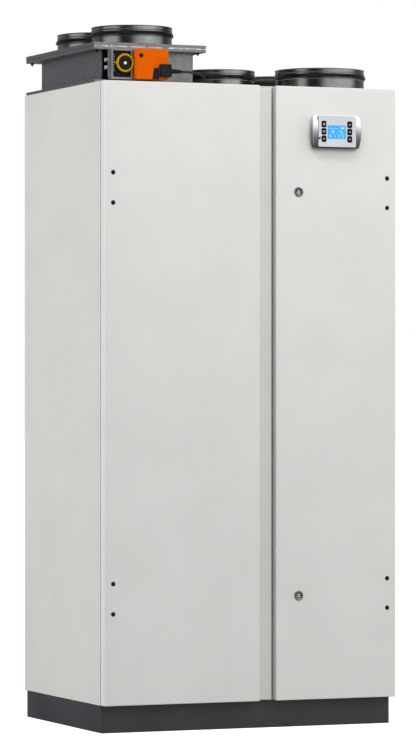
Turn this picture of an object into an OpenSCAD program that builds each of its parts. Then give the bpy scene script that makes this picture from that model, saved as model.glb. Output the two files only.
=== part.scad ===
// Heat recovery unit: a floor-standing cabinet with two swinging doors, duct collars on
// its roof, a changeover damper box with a spring-return drive, and its inner parts.
// Millimetres. The origin is at floor level, under the middle of the overall box.
// +Z is up and the doors face -Y.

/* [Cabinet] */
// Width over the side panels
cab_w = 978; // [970:1:990]
// Depth from the door fronts to the back
cab_d = 700; // [695:1:720]
// Height of the doors and of the carcass
cab_h = 1900; // [1890:1:1950]
// Height of the plinth
plinth_h = 85; // [80:1:110]
// Thickness of the carcass sheets
sheet = 2; // [2:0.5:2.5]
// Thickness of the insulation slabs
wool_t = 30; // [25:1:30]

/* [Doors] */
// Thickness of a door
door_t = 30; // [30:1:32]
// Gap between a closed door and the front frame
door_gap = 5; // [4:0.5:5]
// Width of the left door
left_door_w = 515; // [505:1:515]
// Width of the right door
right_door_w = 407; // [400:1:407]
// Sheet thickness of the doors
door_sheet = 1.5; // [1.5:0.1:2]
// Height of the lower hinge above the door's bottom edge
hinge_low = 325; // [300:1:350]
// Height of the upper hinge above the door's bottom edge
hinge_high = 1575; // [1550:1:1600]
// Distance of the hinge screws from the hinge's middle
screw_off = 46; // [40:1:50]
// Distance of the locks from the middle of the cabinet
lock_x = 157; // [155:1:160]

/* [Control panel] */
// Width of the panel
panel_w = 165; // [160:1:170]
// Height of the panel
panel_h = 100; // [98:1:104]
// How far its buttons stand in front of the door
panel_proud = 24; // [24:1:26]
// Distance of its centre from the middle of the cabinet
panel_x = 278.5; // [270:0.5:290]
// Height of its centre above the floor
panel_z = 1846.5; // [1800:0.5:1850]
// Travel of a button
button_travel = 1.2; // [0.8:0.1:1.4]

/* [Ducts] */
// Radius of the two collars on the damper box and of the rear right collar
collar_r = 125; // [120:1:125]
// Radius of the middle collar
middle_r = 112; // [100:1:112]
// Radius of the front right collar
right_r = 140; // [125:1:140]
// Height of the collars on the cabinet's roof
roof_collar_h = 66; // [60:1:70]
// Height of the collars on the damper box
box_collar_h = 60.5; // [55:0.5:65]

/* [Damper box] */
// Height of the damper box without its lid
box_h = 102.5; // [102:0.5:106]
// Radius of the blade shafts
shaft_r = 5; // [4:0.5:6]
// Radial clearance of a shaft in its bush
run = 0.05; // [0.02:0.01:0.1]

/* [Hidden] */
$fn = 64;

// Cabinet planes
half_w = cab_w / 2;
back_y = (cab_d + panel_proud) / 2;
door_y = back_y - cab_d;                  // front face of the doors
door_back = door_y + door_t;
frame_y = door_back + door_gap;           // front plane of the carcass
top_z = plinth_h + cab_h;
hinge_z = [plinth_h + hinge_low, plinth_h + hinge_high];
lock_z = [hinge_z[1] - 2, hinge_z[0] - 2];

// Plinth
plinth_inset = 5;
plinth_back = 6;
plinth_t = 3;
plinth_rim = 30;

// Front frame with its raised centre post
flange_w = 58;                            // sides
flange_h = 62;                            // top and bottom
left_edge = -half_w + left_door_w;        // free edge of the left door
right_edge = half_w - right_door_w;       // free edge of the right door
post_x0 = left_edge + 2;
post_x1 = right_edge - 8;
post_rise = 16;
post_drop = 4.5;                          // the post ends this far below the door's top
left_open = [-half_w + flange_w, left_edge - 60];
right_open = [right_edge + 52, half_w - flange_w];
open_z = [plinth_h + flange_h, top_z - flange_h];

// Insulated room inside
gap = 0.2;                                // between plates that butt against each other
in_x = half_w - sheet - wool_t;
in_y0 = frame_y + sheet;
in_y1 = back_y - sheet - wool_t;
in_z0 = plinth_h + sheet + wool_t;
in_z1 = top_z - sheet - wool_t;

// Doors
edge_play = 0.2;
gasket_off = 46;
gasket_w = 10;
gasket_air = 0.3;
lock_gasket_off = 18;
hinge_u = 12;                             // pivot, from the door's outer edge
hinge_v = 15;                             // pivot, from the door's front face
pin_r = 3;
arm_h = 20;
arm_u = 35;
notch = [2, 45, 36];                      // liner cut-out at a hinge: from, to, half height
screw_u = 29;
screw_r = 2.5;

// Quarter-turn locks
lock_flange_r = 15;
lock_proud = 2;
lock_body_r = 12;
lock_core_r = 8;
cam_v = [40, 43];
cam_len = 45;
cam_w = 16;

// Control panel
panel_bow = 6;                            // bulge of its short sides
grip_bow = 8;                             // bulge of its front
shell_d = 22;
fascia_w = 126.5;
fascia_h = 95;
fascia_y = [door_y - 23, door_y - 17];
glass = [62, 41];
glass_x = panel_x - 2.5;
glass_z = panel_z - 2;
button = [16.5, 20];
button_pitch = 22.7;
button_x = [panel_x - 46, panel_x + 42];
button_z = panel_z - 0.3;

// Duct collars: centres on the roof
box_ducts = [[-298, -83], [-305, 198]];
middle_duct = [32, -2];
right_ducts = [[314, -148], [313, 195]];
collar_t = 1.5;
collar_foot = 12;
box_top = top_z + 124.5;                  // top of the damper box's lid
gasket_drop = 22;                         // rim to the gasket's middle

// Damper box
box_x = [-448, -144];
box_y = [-210, 318];
rim_x = [-484, -113];
rim_y = [-240, 362];
rim_t = 10;
blade_x = [-395, -297, -199];
blade_z = top_z + 60;
blade_half = 48.3;
blade_t = 3;
front_run = [-203, 50];                   // front set of blades, along Y
rear_run = [60, 312];
bush_r = 8;
crank = 30;                               // crank length, set at 45 degrees at rest
crank_y = [322, 326];
link_y = [326.4, 330.4];
crank_pin_r = 3;

// Damper drive
drive_x = blade_x[0];
drive_z = blade_z;
casing_x = [-444, -263];
casing_y = [-262, -250];
casing_z = [top_z + 9.5, top_z + 104];
clamp_r = 15;
ring_r = 28.5;
ring_w = 6.6;
leg_reach = 47;
leg_gap = 23;
cover_x = [-366, -263];
cover_y = [-300, -262];
cable_r = 4;
boot_end = [-218, -290, top_z + 37];
grommet = [-134, -280];
// The cable's route, from the boot to the grommet
cable_route = [
    [-218, -290, 2022], [-211, -290, 2022], [-204, -289.8, 2021.9], [-197, -289.2, 2021.7],
    [-190, -288.4, 2021.4], [-183, -287.4, 2021], [-176, -286.4, 2020.5], [-169, -285.2, 2020],
    [-162, -284, 2019.4], [-155, -282.8, 2018.5], [-149, -281.8, 2017], [-143.8, -281, 2014.4],
    [-139.4, -280.4, 2010.6], [-136.4, -280.1, 2005.8], [-134.8, -280, 2000.2],
    [-134, -280, 1994.6], [-134, -280, 1990]
];

// Inner layout
wall_x = [50, 52];                        // wall between the two rooms
wall_up_x = [158, 160];                   // its upper part, beside the middle duct
wall_shelf_z = [1700, 1702];
riser_y = [200, 202];                     // plate in front of the rear supply riser
split_y = [26, 28];                       // plate between the right room's halves
passage_y = [-230, 20];                   // extract air's way through the centre wall
passage_z = [200, 500];
slab_joints = [-86, 150];                 // joints along X between the roof's wool slabs
core_x = -165;                            // heat exchanger
core_half = 197;
core_z = [650, 860, 1260, 1470];
core_y = [-285, 192];
plate_pitch = 12;
bypass_x = (-in_x + core_x - core_half - 4) / 2;
bypass_z = 1200;
bypass_half = 42;
bypass_front = -250;
fan_r = 95;
eye_r = 58;
fan_plate = 230;
supply_fan = [-310, 360];                 // x and z of the supply fan's axis
fan_shelf_z = 1790;
filter_z = [1560, 1608];
drain = [-300, -200];
drain_r = 16;

// A box between two corners
module slab(lo, hi) translate(lo) cube(hi - lo);
// A cylinder along Z, Y or X between two places
module rod_z(x, y, z0, z1, r) translate([x, y, z0]) cylinder(h = z1 - z0, r = r);
module rod_y(x, z, y0, y1, r) translate([x, y0, z]) rotate([-90, 0, 0]) cylinder(h = y1 - y0, r = r);
module rod_x(y, z, x0, x1, r) translate([x0, y, z]) rotate([0, 90, 0]) cylinder(h = x1 - x0, r = r);
// A rounded rectangle in XZ, from y0 to y1
module pill(x, z, w, h, r, y0, y1) translate([x, y1, z]) rotate([90, 0, 0])
    linear_extrude(y1 - y0) union() {
        square([w - 2 * r, h], center = true);
        square([w, h - 2 * r], center = true);
        for (i = [-1, 1], j = [-1, 1]) translate([i * (w / 2 - r), j * (h / 2 - r)]) circle(r);
    }
// A flat rectangular ring in XZ
module ring_xz(x, z, w, y0, y1) difference() {
    slab([x[0], y0, z[0]], [x[1], y1, z[1]]);
    slab([x[0] + w, y0 - 1, z[0] + w], [x[1] - w, y1 + 1, z[1] - w]);
}
// A flat rectangular ring in XY
module ring_xy(x, y, w, z0, z1) difference() {
    slab([x[0], y[0], z0], [x[1], y[1], z1]);
    slab([x[0] + w, y[0] + w, z0 - 1], [x[1] - w, y[1] - w, z1 + 1]);
}

// Carcass

module plinth() color("#37393d") difference() {
    slab([-half_w + plinth_inset, frame_y, 0], [half_w - plinth_inset, back_y - plinth_back, plinth_h]);
    slab([-half_w + plinth_inset + plinth_t, frame_y + plinth_t, plinth_t],
         [half_w - plinth_inset - plinth_t, back_y - plinth_back - plinth_t, plinth_h + 1]);
    slab([-half_w + plinth_inset + plinth_rim, frame_y + plinth_rim, -1],
         [half_w - plinth_inset - plinth_rim, back_y - plinth_back - plinth_rim, plinth_t + 1]);
}

module floor_panel() color("#b9bbbc") difference() {
    slab([-half_w + sheet, frame_y, plinth_h], [half_w - sheet, back_y - sheet, plinth_h + sheet]);
    rod_z(drain[0], drain[1], plinth_h - 1, plinth_h + sheet + 1, drain_r + 1);
}

module side_panel(side) color("#d8d6d2") {
    x0 = side < 0 ? -half_w : half_w - sheet;
    slab([x0, frame_y, plinth_h], [x0 + sheet, back_y, top_z]);
}
module left_side_panel() side_panel(-1);
module right_side_panel() side_panel(1);

module back_panel() color("#d8d6d2")
    slab([-half_w + sheet, back_y - sheet, plinth_h], [half_w - sheet, back_y, top_z]);

// The openings that the ducts need in the roof, from z0 to z1
module roof_holes(z0, z1) {
    slab([box_x[0] + 30, box_y[0] + 30, z0], [box_x[1] - 30, riser_y[0] - 10, z1]);
    rod_z(middle_duct[0], middle_duct[1], z0, z1, middle_r - collar_t);
    rod_z(right_ducts[0][0], right_ducts[0][1], z0, z1, right_r - collar_t);
    rod_z(right_ducts[1][0], right_ducts[1][1], z0, z1, collar_r - collar_t);
}

module top_panel() color("#d8d6d2") difference() {
    slab([-half_w + sheet, frame_y, top_z - sheet], [half_w - sheet, back_y - sheet, top_z]);
    roof_holes(top_z - sheet - 1, top_z + 1);
    rod_z(grommet[0], grommet[1], top_z - sheet - 1, top_z + 1, cable_r + 1.5);
}

module front_frame() color("#dcdbd8") {
    difference() {
        slab([-half_w + sheet, frame_y, plinth_h + sheet], [half_w - sheet, frame_y + sheet, top_z - sheet]);
        slab([left_open[0], frame_y - 1, open_z[0]], [left_open[1], frame_y + sheet + 1, open_z[1]]);
        slab([right_open[0], frame_y - 1, open_z[0]], [right_open[1], frame_y + sheet + 1, open_z[1]]);
        slab([post_x0 + sheet, frame_y - 1, plinth_h + 20],
             [post_x1 - sheet, frame_y + sheet + 1, top_z - 20]);
    }
    difference() {
        slab([post_x0, frame_y - post_rise, plinth_h + sheet], [post_x1, frame_y, top_z - post_drop]);
        slab([post_x0 + sheet, frame_y - post_rise + sheet, plinth_h + 2 * sheet],
             [post_x1 - sheet, frame_y + 1, top_z - post_drop - sheet]);
    }
}

module cabinet_insulation() color("#55585b") {
    difference() {
        slab([-half_w + sheet, in_y0, plinth_h + sheet], [half_w - sheet, back_y - sheet, in_z0]);
        rod_z(drain[0], drain[1], plinth_h, in_z0 + 1, drain_r + 1);
    }
    difference() {
        slab([-half_w + sheet, in_y0, in_z1], [half_w - sheet, back_y - sheet, top_z - sheet]);
        roof_holes(in_z1 - 1, top_z);
        rod_z(grommet[0], grommet[1], in_z1 - 1, top_z, cable_r + 1.5);
        for (x = slab_joints) slab([x, in_y0 - 1, in_z1 - 1], [x + gap, back_y, top_z]);
        slab([slab_joints[1], split_y[0], in_z1 - 1], [half_w, split_y[0] + gap, top_z]);
    }
    slab([-half_w + sheet, in_y1 + gap, in_z0 + gap], [half_w - sheet, back_y - sheet, in_z1 - gap]);
    for (side = [-1, 1]) slab(
        [side < 0 ? -half_w + sheet : in_x, in_y0, in_z0 + gap],
        [side < 0 ? -in_x : half_w - sheet, in_y1, in_z1 - gap]);
}

// Walls that part the air streams: a centre wall of four sheets around the extract air's way
// through, its upper part with a jog beside the middle duct, the riser's front plate, the
// right room's split, the plates above and below the heat exchanger, its bypass channel and
// the exhaust fan's shelf.
module inner_partitions() color("#c3c6c8") {
    lo_z = in_z0 + gap;
    hi_z = in_z1 - gap;
    y = [in_y0 + gap, passage_y[0], passage_y[1], riser_y[1]];
    slab([wall_x[0], y[0], lo_z], [wall_x[1], y[3], passage_z[0]]);
    slab([wall_x[0], y[0], passage_z[0] + gap], [wall_x[1], y[1], passage_z[1] - gap]);
    slab([wall_x[0], y[2], passage_z[0] + gap], [wall_x[1], y[3], passage_z[1] - gap]);
    slab([wall_x[0], y[0], passage_z[1]], [wall_x[1], y[3], wall_shelf_z[0] - gap]);
    difference() {
        slab([wall_x[0], in_y0 + gap, wall_shelf_z[0]], [wall_up_x[1], riser_y[1], hi_z]);
        slab([wall_x[0] - 1, in_y0, wall_shelf_z[1]], [wall_up_x[0], riser_y[1] + 1, hi_z + 1]);
    }
    difference() {
        slab([-in_x + gap, riser_y[0], lo_z], [wall_x[0] - gap, riser_y[1], hi_z]);
        rod_y(supply_fan[0], supply_fan[1], riser_y[0] - 1, riser_y[1] + 1, eye_r);
        rod_y(bypass_x, bypass_z, riser_y[0] - 1, riser_y[1] + 1, shaft_r + run);
    }
    slab([wall_x[1] + gap, split_y[0], lo_z], [in_x - gap, split_y[1], wall_shelf_z[0] - gap]);
    slab([wall_up_x[1] + gap, split_y[0], wall_shelf_z[0]], [in_x - gap, split_y[1], hi_z]);
    slab([core_x - 1, in_y0 + gap, core_z[3] + 5], [core_x + 1, riser_y[0] - gap, fan_shelf_z - gap]);
    slab([core_x - 1, in_y0 + gap, fan_shelf_z + sheet + gap], [core_x + 1, riser_y[0] - gap, hi_z]);
    slab([core_x - 1, in_y0 + 20, 160], [core_x + 1, riser_y[0] - gap, core_z[0] - 5]);
    slab([core_x - core_half - 4, bypass_front, core_z[1] - 20],
         [core_x - core_half - 2, riser_y[0] - gap, core_z[2]]);
    difference() {
        slab([-in_x + gap, bypass_front, core_z[1] - 20],
             [core_x - core_half - 4 - gap, bypass_front + sheet, core_z[2]]);
        rod_y(bypass_x, bypass_z, bypass_front - 1, bypass_front + sheet + 1, shaft_r + run);
    }
    difference() {
        slab([core_x + 1 + gap, in_y0 + gap, fan_shelf_z],
             [wall_up_x[0] - gap, riser_y[0] - gap, fan_shelf_z + sheet]);
        rod_z(middle_duct[0], middle_duct[1], fan_shelf_z - 1, fan_shelf_z + sheet + 1, eye_r);
    }
}

// Doors. side is -1 for the left door and 1 for the right one.

function door_x(side) = side < 0 ? [-half_w, left_edge] : [right_edge, half_w];

// Puts its children at both hinges of a door, where +X runs inward from the door's outer
// edge, +Y runs back from its front face and Z is 0 at the hinge's middle.
module at_hinges(side) for (z = hinge_z)
    translate([side * half_w, door_y, z]) mirror([side > 0 ? 1 : 0, 0, 0]) children();

module lock_bores(r, y0, y1) for (z = lock_z) rod_y(lock_x, z, y0, y1, r);

module door_skin(side) color("#e4e4e1") difference() {
    x = door_x(side);
    slab([x[0], door_y, plinth_h], [x[1], door_back, top_z]);
    slab([x[0] + door_sheet, door_y + door_sheet, plinth_h + door_sheet],
         [x[1] - door_sheet, door_back + 1, top_z - door_sheet]);
    at_hinges(side) for (s = [-1, 1]) rod_y(screw_u, s * screw_off, -1, 5, screw_r + 0.1);
    if (side > 0) lock_bores(lock_body_r + 0.1, door_y - 1, door_y + 5);
}
module left_door_skin() door_skin(-1);
module right_door_skin() door_skin(1);

module door_liner(side) color("#c9cbcc") difference() {
    x = door_x(side);
    slab([x[0] + door_sheet + edge_play, door_back - door_sheet, plinth_h + door_sheet + edge_play],
         [x[1] - door_sheet - edge_play, door_back, top_z - door_sheet - edge_play]);
    at_hinges(side) slab([0, door_t - 5, -notch[2]], [notch[1], door_t + 1, notch[2]]);
    if (side > 0) lock_bores(lock_body_r + 0.1, door_back - 5, door_back + 1);
}
module left_door_liner() door_liner(-1);
module right_door_liner() door_liner(1);

module door_insulation(side) color("#4c4f52") difference() {
    x = door_x(side);
    slab([x[0] + door_sheet + 1, door_y + door_sheet, plinth_h + door_sheet + 1],
         [x[1] - door_sheet - 1, door_back - door_sheet, top_z - door_sheet - 1]);
    at_hinges(side) slab([-1, 0, -70], [62, door_t, 70]);
    if (side > 0) lock_bores(22, door_y, door_back);
}
module left_door_insulation() door_insulation(-1);
module right_door_insulation() door_insulation(1);

module door_gasket(side) color("#232426") {
    x = door_x(side);
    free = side < 0 ? gasket_off : lock_gasket_off;
    x0 = side < 0 ? x[0] + gasket_off : x[0] + free;
    x1 = side < 0 ? x[1] - free : x[1] - gasket_off;
    ring_xz([x0, x1], [plinth_h + gasket_off, top_z - gasket_off], gasket_w, door_back, frame_y - gasket_air);
}
module left_door_gasket() door_gasket(-1);
module right_door_gasket() door_gasket(1);

// Button-head screws that hold the hinge leaves, with a hexagon socket
module door_screws(side) color("#1d1d1f") at_hinges(side) for (s = [-1, 1])
    translate([screw_u, 0, s * screw_off]) rotate([90, 0, 0]) difference() {
        rotate_extrude() polygon([
            [0, -7], [screw_r, -7], [screw_r, 0], [4.9, 0], [4.9, 0.5],
            [4.4, 1.5], [3.3, 2.3], [1.8, 2.7], [0, 2.7]]);
        translate([0, 0, 0.9]) cylinder(h = 3, r = 1.75, $fn = 6);
    }
module left_door_screws() door_screws(-1);
module right_door_screws() door_screws(1);

// Hinge arms on the front frame, reaching through the liner's notch to the pivot
module hinge_arms() color("#9a9da0") for (side = [-1, 1]) at_hinges(side) difference() {
    union() {
        slab([hinge_u, hinge_v - 3, -arm_h], [arm_u + 6, hinge_v + 3, arm_h]);
        slab([arm_u, hinge_v - 3, -arm_h], [arm_u + 6, door_t + door_gap, arm_h]);
        slab([22, door_t + door_gap - 2, -arm_h - 14], [arm_u + 10, door_t + door_gap, arm_h + 14]);
        rod_z(hinge_u, hinge_v, -arm_h, arm_h, 6);
    }
    rod_z(hinge_u, hinge_v, -arm_h - 1, arm_h + 1, pin_r + run);
}

// Leaves screwed inside the door skin, each with two ears and a fixed pin
module hinge_leaves(side) color("#a8abae") at_hinges(side) difference() {
    union() {
        slab([4, door_sheet, -60], [58, door_sheet + 2, 60]);
        for (s = [-1, 1]) {
            z0 = s > 0 ? arm_h + 0.4 : -arm_h - 6.4;
            slab([6, door_sheet, z0], [18, hinge_v, z0 + 6]);
            rod_z(hinge_u, hinge_v, z0, z0 + 6, 6);
        }
        rod_z(hinge_u, hinge_v, -arm_h - 9, arm_h + 9, pin_r);
    }
    for (s = [-1, 1]) rod_y(screw_u, s * screw_off, 0, 5, screw_r + 0.1);
}
module left_hinge_leaves() hinge_leaves(-1);
module right_hinge_leaves() hinge_leaves(1);

// Quarter-turn locks

module lock_housings() color("#b9bcbf") for (z = lock_z) difference() {
    union() {
        rod_y(lock_x, z, door_y - lock_proud, door_y, lock_flange_r);
        rod_y(lock_x, z, door_y, door_back + 4, lock_body_r);
        translate([lock_x, door_back + 0.1, z]) rotate([-90, 0, 0]) cylinder(h = 3.5, r = 16, $fn = 6);
    }
    rod_y(lock_x, z, door_y - 3, door_back + 5, lock_core_r + run);
}

module lock_barrel(z) color("#c4c7ca") difference() {
    union() {
        rod_y(lock_x, z, door_y - lock_proud, door_y + cam_v[1], lock_core_r);
        hull() {
            rod_y(lock_x, z, door_y + cam_v[0], door_y + cam_v[1], cam_w / 2, $fn = 32);
            rod_y(lock_x, z - cam_len + cam_w / 2, door_y + cam_v[0], door_y + cam_v[1], cam_w / 2, $fn = 32);
        }
    }
    difference() {
        rod_y(lock_x, z, door_y - 3, door_y + 6, 5.5);
        rod_y(lock_x, z, door_y - 3, door_y + 7, 2.2);
        slab([lock_x - 5, door_y - 1, z - 1.2], [lock_x + 5, door_y + 7, z + 1.2]);
    }
}
module upper_lock_barrel() lock_barrel(lock_z[0]);
module lower_lock_barrel() lock_barrel(lock_z[1]);

// Control panel on the right door

// Outline with bowed short sides
module panel_outline() {
    r = (pow(panel_h / 2, 2) + pow(panel_bow, 2)) / (2 * panel_bow);
    intersection() {
        square([panel_w, panel_h], center = true);
        translate([panel_w / 2 - r, 0]) circle(r, $fn = 128);
        translate([r - panel_w / 2, 0]) circle(r, $fn = 128);
    }
}

module panel_back_shell() color("#b4b7ba") difference() {
    intersection() {
        translate([panel_x, door_y, panel_z]) rotate([90, 0, 0]) linear_extrude(shell_d) panel_outline();
        r = (pow(panel_h / 2, 2) + pow(grip_bow, 2)) / (2 * grip_bow);
        translate([panel_x - panel_w, door_y - shell_d + r, panel_z]) rotate([0, 90, 0])
            cylinder(h = 2 * panel_w, r = r, $fn = 128);
    }
    slab([panel_x - fascia_w / 2 - 0.3, fascia_y[0] - 5, panel_z - fascia_h / 2 - 0.3],
         [panel_x + fascia_w / 2 + 0.3, fascia_y[1], panel_z + fascia_h / 2 + 0.3]);
    slab([panel_x - 58, fascia_y[0], panel_z - 43], [panel_x + 58, door_y - 2, panel_z + 43]);
}

module panel_fascia() color("#d9dbdd") difference() {
    pill(panel_x, panel_z, fascia_w, fascia_h, 3, fascia_y[0], fascia_y[1]);
    pill(glass_x, glass_z, glass[0] + 0.4, glass[1] + 0.4, 1, fascia_y[0] - 1, fascia_y[1] + 1);
    for (x = button_x, i = [-1, 0, 1])
        pill(x, button_z + i * button_pitch, button[0] + 0.6, button[1] + 0.6, 4.3,
             fascia_y[0] - 1, fascia_y[1] + 1);
}

// Display module on its circuit board
module panel_display() color("#2f9bff") {
    pill(glass_x, glass_z, glass[0], glass[1], 0.8, fascia_y[0] + 0.4, fascia_y[1] + 1);
    slab([glass_x - 33.5, fascia_y[1] + 0.3, glass_z - 26], [glass_x + 33.5, door_y - 8, glass_z + 26]);
    slab([panel_x - 56, door_y - 8, panel_z - 41], [panel_x + 56, door_y - 6.4, panel_z + 41]);
}

// A key with a skirt behind the fascia and a stem over its switch. row is 1, 0 or -1.
module key(x, row) color("#111214") {
    z = button_z + row * button_pitch;
    pill(x, z, button[0], button[1], 4, door_y - panel_proud, fascia_y[1] + 0.4);
    pill(x, z, button[0] + 1.6, button[1] + 1.6, 4.5, fascia_y[1] + 0.3, fascia_y[1] + 1.8);
    rod_y(x, z, fascia_y[1] + 1.8, fascia_y[1] + 5, 3);
}
module button_left_top() key(button_x[0], 1);
module button_left_middle() key(button_x[0], 0);
module button_left_bottom() key(button_x[0], -1);
module button_right_top() key(button_x[1], 1);
module button_right_middle() key(button_x[1], 0);
module button_right_bottom() key(button_x[1], -1);

// Damper box on the roof

module damper_box() color("#5a5e63") {
    body_top = top_z + box_h;
    difference() {
        union() {
            slab([rim_x[0], rim_y[0], top_z], [rim_x[1], rim_y[1], top_z + rim_t]);
            slab([box_x[0], box_y[0], top_z], [box_x[1], box_y[1], body_top + rim_t]);
            slab([rim_x[0], rim_y[0], body_top], [rim_x[1], rim_y[1], body_top + rim_t]);
        }
        slab([box_x[0] + sheet, box_y[0] + sheet, top_z - 1],
             [box_x[1] - sheet, box_y[1] - sheet, body_top + rim_t + 1]);
        rod_y(blade_x[0], blade_z, box_y[0] - 1, box_y[0] + sheet + 1, bush_r);
        for (x = blade_x) rod_y(x, blade_z, box_y[1] - sheet - 1, box_y[1] + 1, bush_r);
    }
    slab([box_x[0] + sheet, front_run[1] + 4, blade_z + 8],
         [box_x[1] - sheet, rear_run[0] - 4, body_top + rim_t]);
}

module damper_lid() color("#6d7176") difference() {
    low = top_z + box_h + rim_t + 0.5;
    slab([rim_x[0], rim_y[0], low], [rim_x[1], rim_y[1], box_top]);
    slab([rim_x[0] + 2, rim_y[0] + 2, low - 1], [rim_x[1] - 2, rim_y[1] - 2, box_top - 2]);
    for (c = box_ducts) rod_z(c[0], c[1], low - 2, box_top + 1, collar_r - collar_t);
}

// One blade shaft: the front blades lie flat and the rear blades stand at rest, so one
// duct is shut while the other is open. A crank outside the rear wall takes the link rod.
module blade(x, y_front) {
    rod_y(x, blade_z, y_front, crank_y[1], shaft_r);
    flat = [blade_half, blade_t / 2];
    slab([x - flat[0], front_run[0], blade_z - flat[1]], [x + flat[0], front_run[1], blade_z + flat[1]]);
    slab([x - flat[1], rear_run[0], blade_z - flat[0]], [x + flat[1], rear_run[1], blade_z + flat[0]]);
    translate([x, 0, blade_z]) rotate([0, -45, 0]) {
        slab([0, crank_y[0], -5], [crank, crank_y[1], 5]);
        rod_y(crank, 0, crank_y[0], crank_y[1], 5);
        rod_y(crank, 0, crank_y[0], link_y[1] + 1, crank_pin_r);
    }
}
module driven_blade() color("#a9adb0") blade(blade_x[0], casing_y[0] - 12);
module middle_blade() color("#a9adb0") blade(blade_x[1], box_y[0] + sheet + 1.2);
module end_blade() color("#a9adb0") blade(blade_x[2], box_y[0] + sheet + 1.2);

module damper_link_rod() color("#c2c5c8") {
    reach = crank / sqrt(2);
    difference() {
        slab([blade_x[0] + reach - 6, link_y[0], blade_z + reach - 6],
             [blade_x[2] + reach + 6, link_y[1], blade_z + reach + 6]);
        for (x = blade_x) rod_y(x + reach, blade_z + reach, link_y[0] - 1, link_y[1] + 1, crank_pin_r + run);
    }
}

// A bush through each wall that a shaft passes, and two blind cups inside the front wall
module damper_bushes() color("#202124") {
    front = box_y[0] + sheet;
    for (x = blade_x) difference() {
        union() {
            rod_y(x, blade_z, box_y[1] - sheet, box_y[1] + 2, bush_r);
            rod_y(x, blade_z, box_y[1] - sheet - 1.6, box_y[1] - sheet, bush_r + 2);
        }
        rod_y(x, blade_z, box_y[1] - 8, box_y[1] + 5, shaft_r + run);
    }
    difference() {
        union() {
            rod_y(blade_x[0], blade_z, box_y[0] - 2, front, bush_r);
            rod_y(blade_x[0], blade_z, front, front + 1.6, bush_r + 2);
        }
        rod_y(blade_x[0], blade_z, box_y[0] - 5, front + 5, shaft_r + run);
    }
    for (x = [blade_x[1], blade_x[2]]) difference() {
        rod_y(x, blade_z, front, front + 4.4, bush_r + 2);
        rod_y(x, blade_z, front + 1, front + 5, shaft_r + run);
    }
}

// Duct collars

// A spigot with a foot, two beads beside the gasket's groove and a rolled rim
module collar(c, r, z0, h) translate([c[0], c[1], z0]) rotate_extrude($fn = 128) {
    g = h - gasket_drop;
    polygon([
        [r - collar_t, 0], [r + collar_foot, 0], [r + collar_foot, 2], [r, 2],
        [r, g - 12], [r + 1.4, g - 10.5], [r + 1.4, g - 9], [r, g - 7.5],
        [r, g + 7.5], [r + 1.4, g + 9], [r + 1.4, g + 10.5], [r, g + 12],
        [r, h - 2], [r + 1.2, h - 1.4], [r + 1.2, h], [r - collar_t, h]]);
}
module duct_collars_250() color("#74787c") {
    for (c = box_ducts) collar(c, collar_r, box_top, box_collar_h);
    collar(right_ducts[1], collar_r, top_z, roof_collar_h);
}
module duct_collar_224() color("#74787c") collar(middle_duct, middle_r, top_z, roof_collar_h);
module duct_collar_280() color("#74787c") collar(right_ducts[0], right_r, top_z, roof_collar_h);

// A rubber ring with two lips, the lower one standing 6 mm proud
module lip_seal(c, r, z) translate([c[0], c[1], z]) rotate_extrude($fn = 128)
    polygon([[r, -6.8], [r + 2, -6.8], [r + 2.8, -4.6], [r + 5.4, -6.4], [r + 6, -5.2],
             [r + 3, -0.6], [r + 4.6, -0.4], [r + 5, 0.8], [r + 2.4, 6], [r, 6.8]]);
module collar_gaskets() color("#141416") {
    for (c = box_ducts) lip_seal(c, collar_r, box_top + box_collar_h - gasket_drop);
    z = top_z + roof_collar_h - gasket_drop;
    lip_seal(middle_duct, middle_r, z);
    lip_seal(right_ducts[0], right_r, z);
    lip_seal(right_ducts[1], collar_r, z);
}

// Damper drive

// Cast base with its dial, and the strap that keeps it from turning on the shaft
module actuator_casing() color("#8f9396") {
    difference() {
        union() {
            slab([casing_x[0], casing_y[0], casing_z[0]], [casing_x[1], casing_y[1], casing_z[1]]);
            slab([casing_x[0] + 4, casing_y[0] - 8, casing_z[0]], [cover_x[0] - 2, casing_y[0], casing_z[1]]);
        }
        rod_y(drive_x, drive_z, casing_y[0] - 9, casing_y[1] + 1, clamp_r);
    }
    x = [casing_x[1] - 26, casing_x[1] - 24, casing_x[1] - 6];
    z = [casing_z[0] + 10, casing_z[1] - 14];
    slab([x[0], casing_y[1], z[0]], [x[2], casing_y[1] + sheet, z[1]]);
    slab([x[0], casing_y[1], z[0]], [x[1], box_y[0], z[1]]);
    slab([x[0], box_y[0] - sheet, z[0]], [x[2], box_y[0], z[1]]);
}

module actuator_cover() color("#ee6c00") difference() {
    mid_x = (cover_x[0] + cover_x[1]) / 2;
    mid_z = (casing_z[0] + casing_z[1]) / 2;
    pill(mid_x, mid_z, cover_x[1] - cover_x[0], casing_z[1] - casing_z[0], 5, cover_y[0], cover_y[1]);
    rod_y(cover_x[0] + 13, top_z + 82, cover_y[0] - 1, cover_y[0] + 12, 6.5);
}

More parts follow.
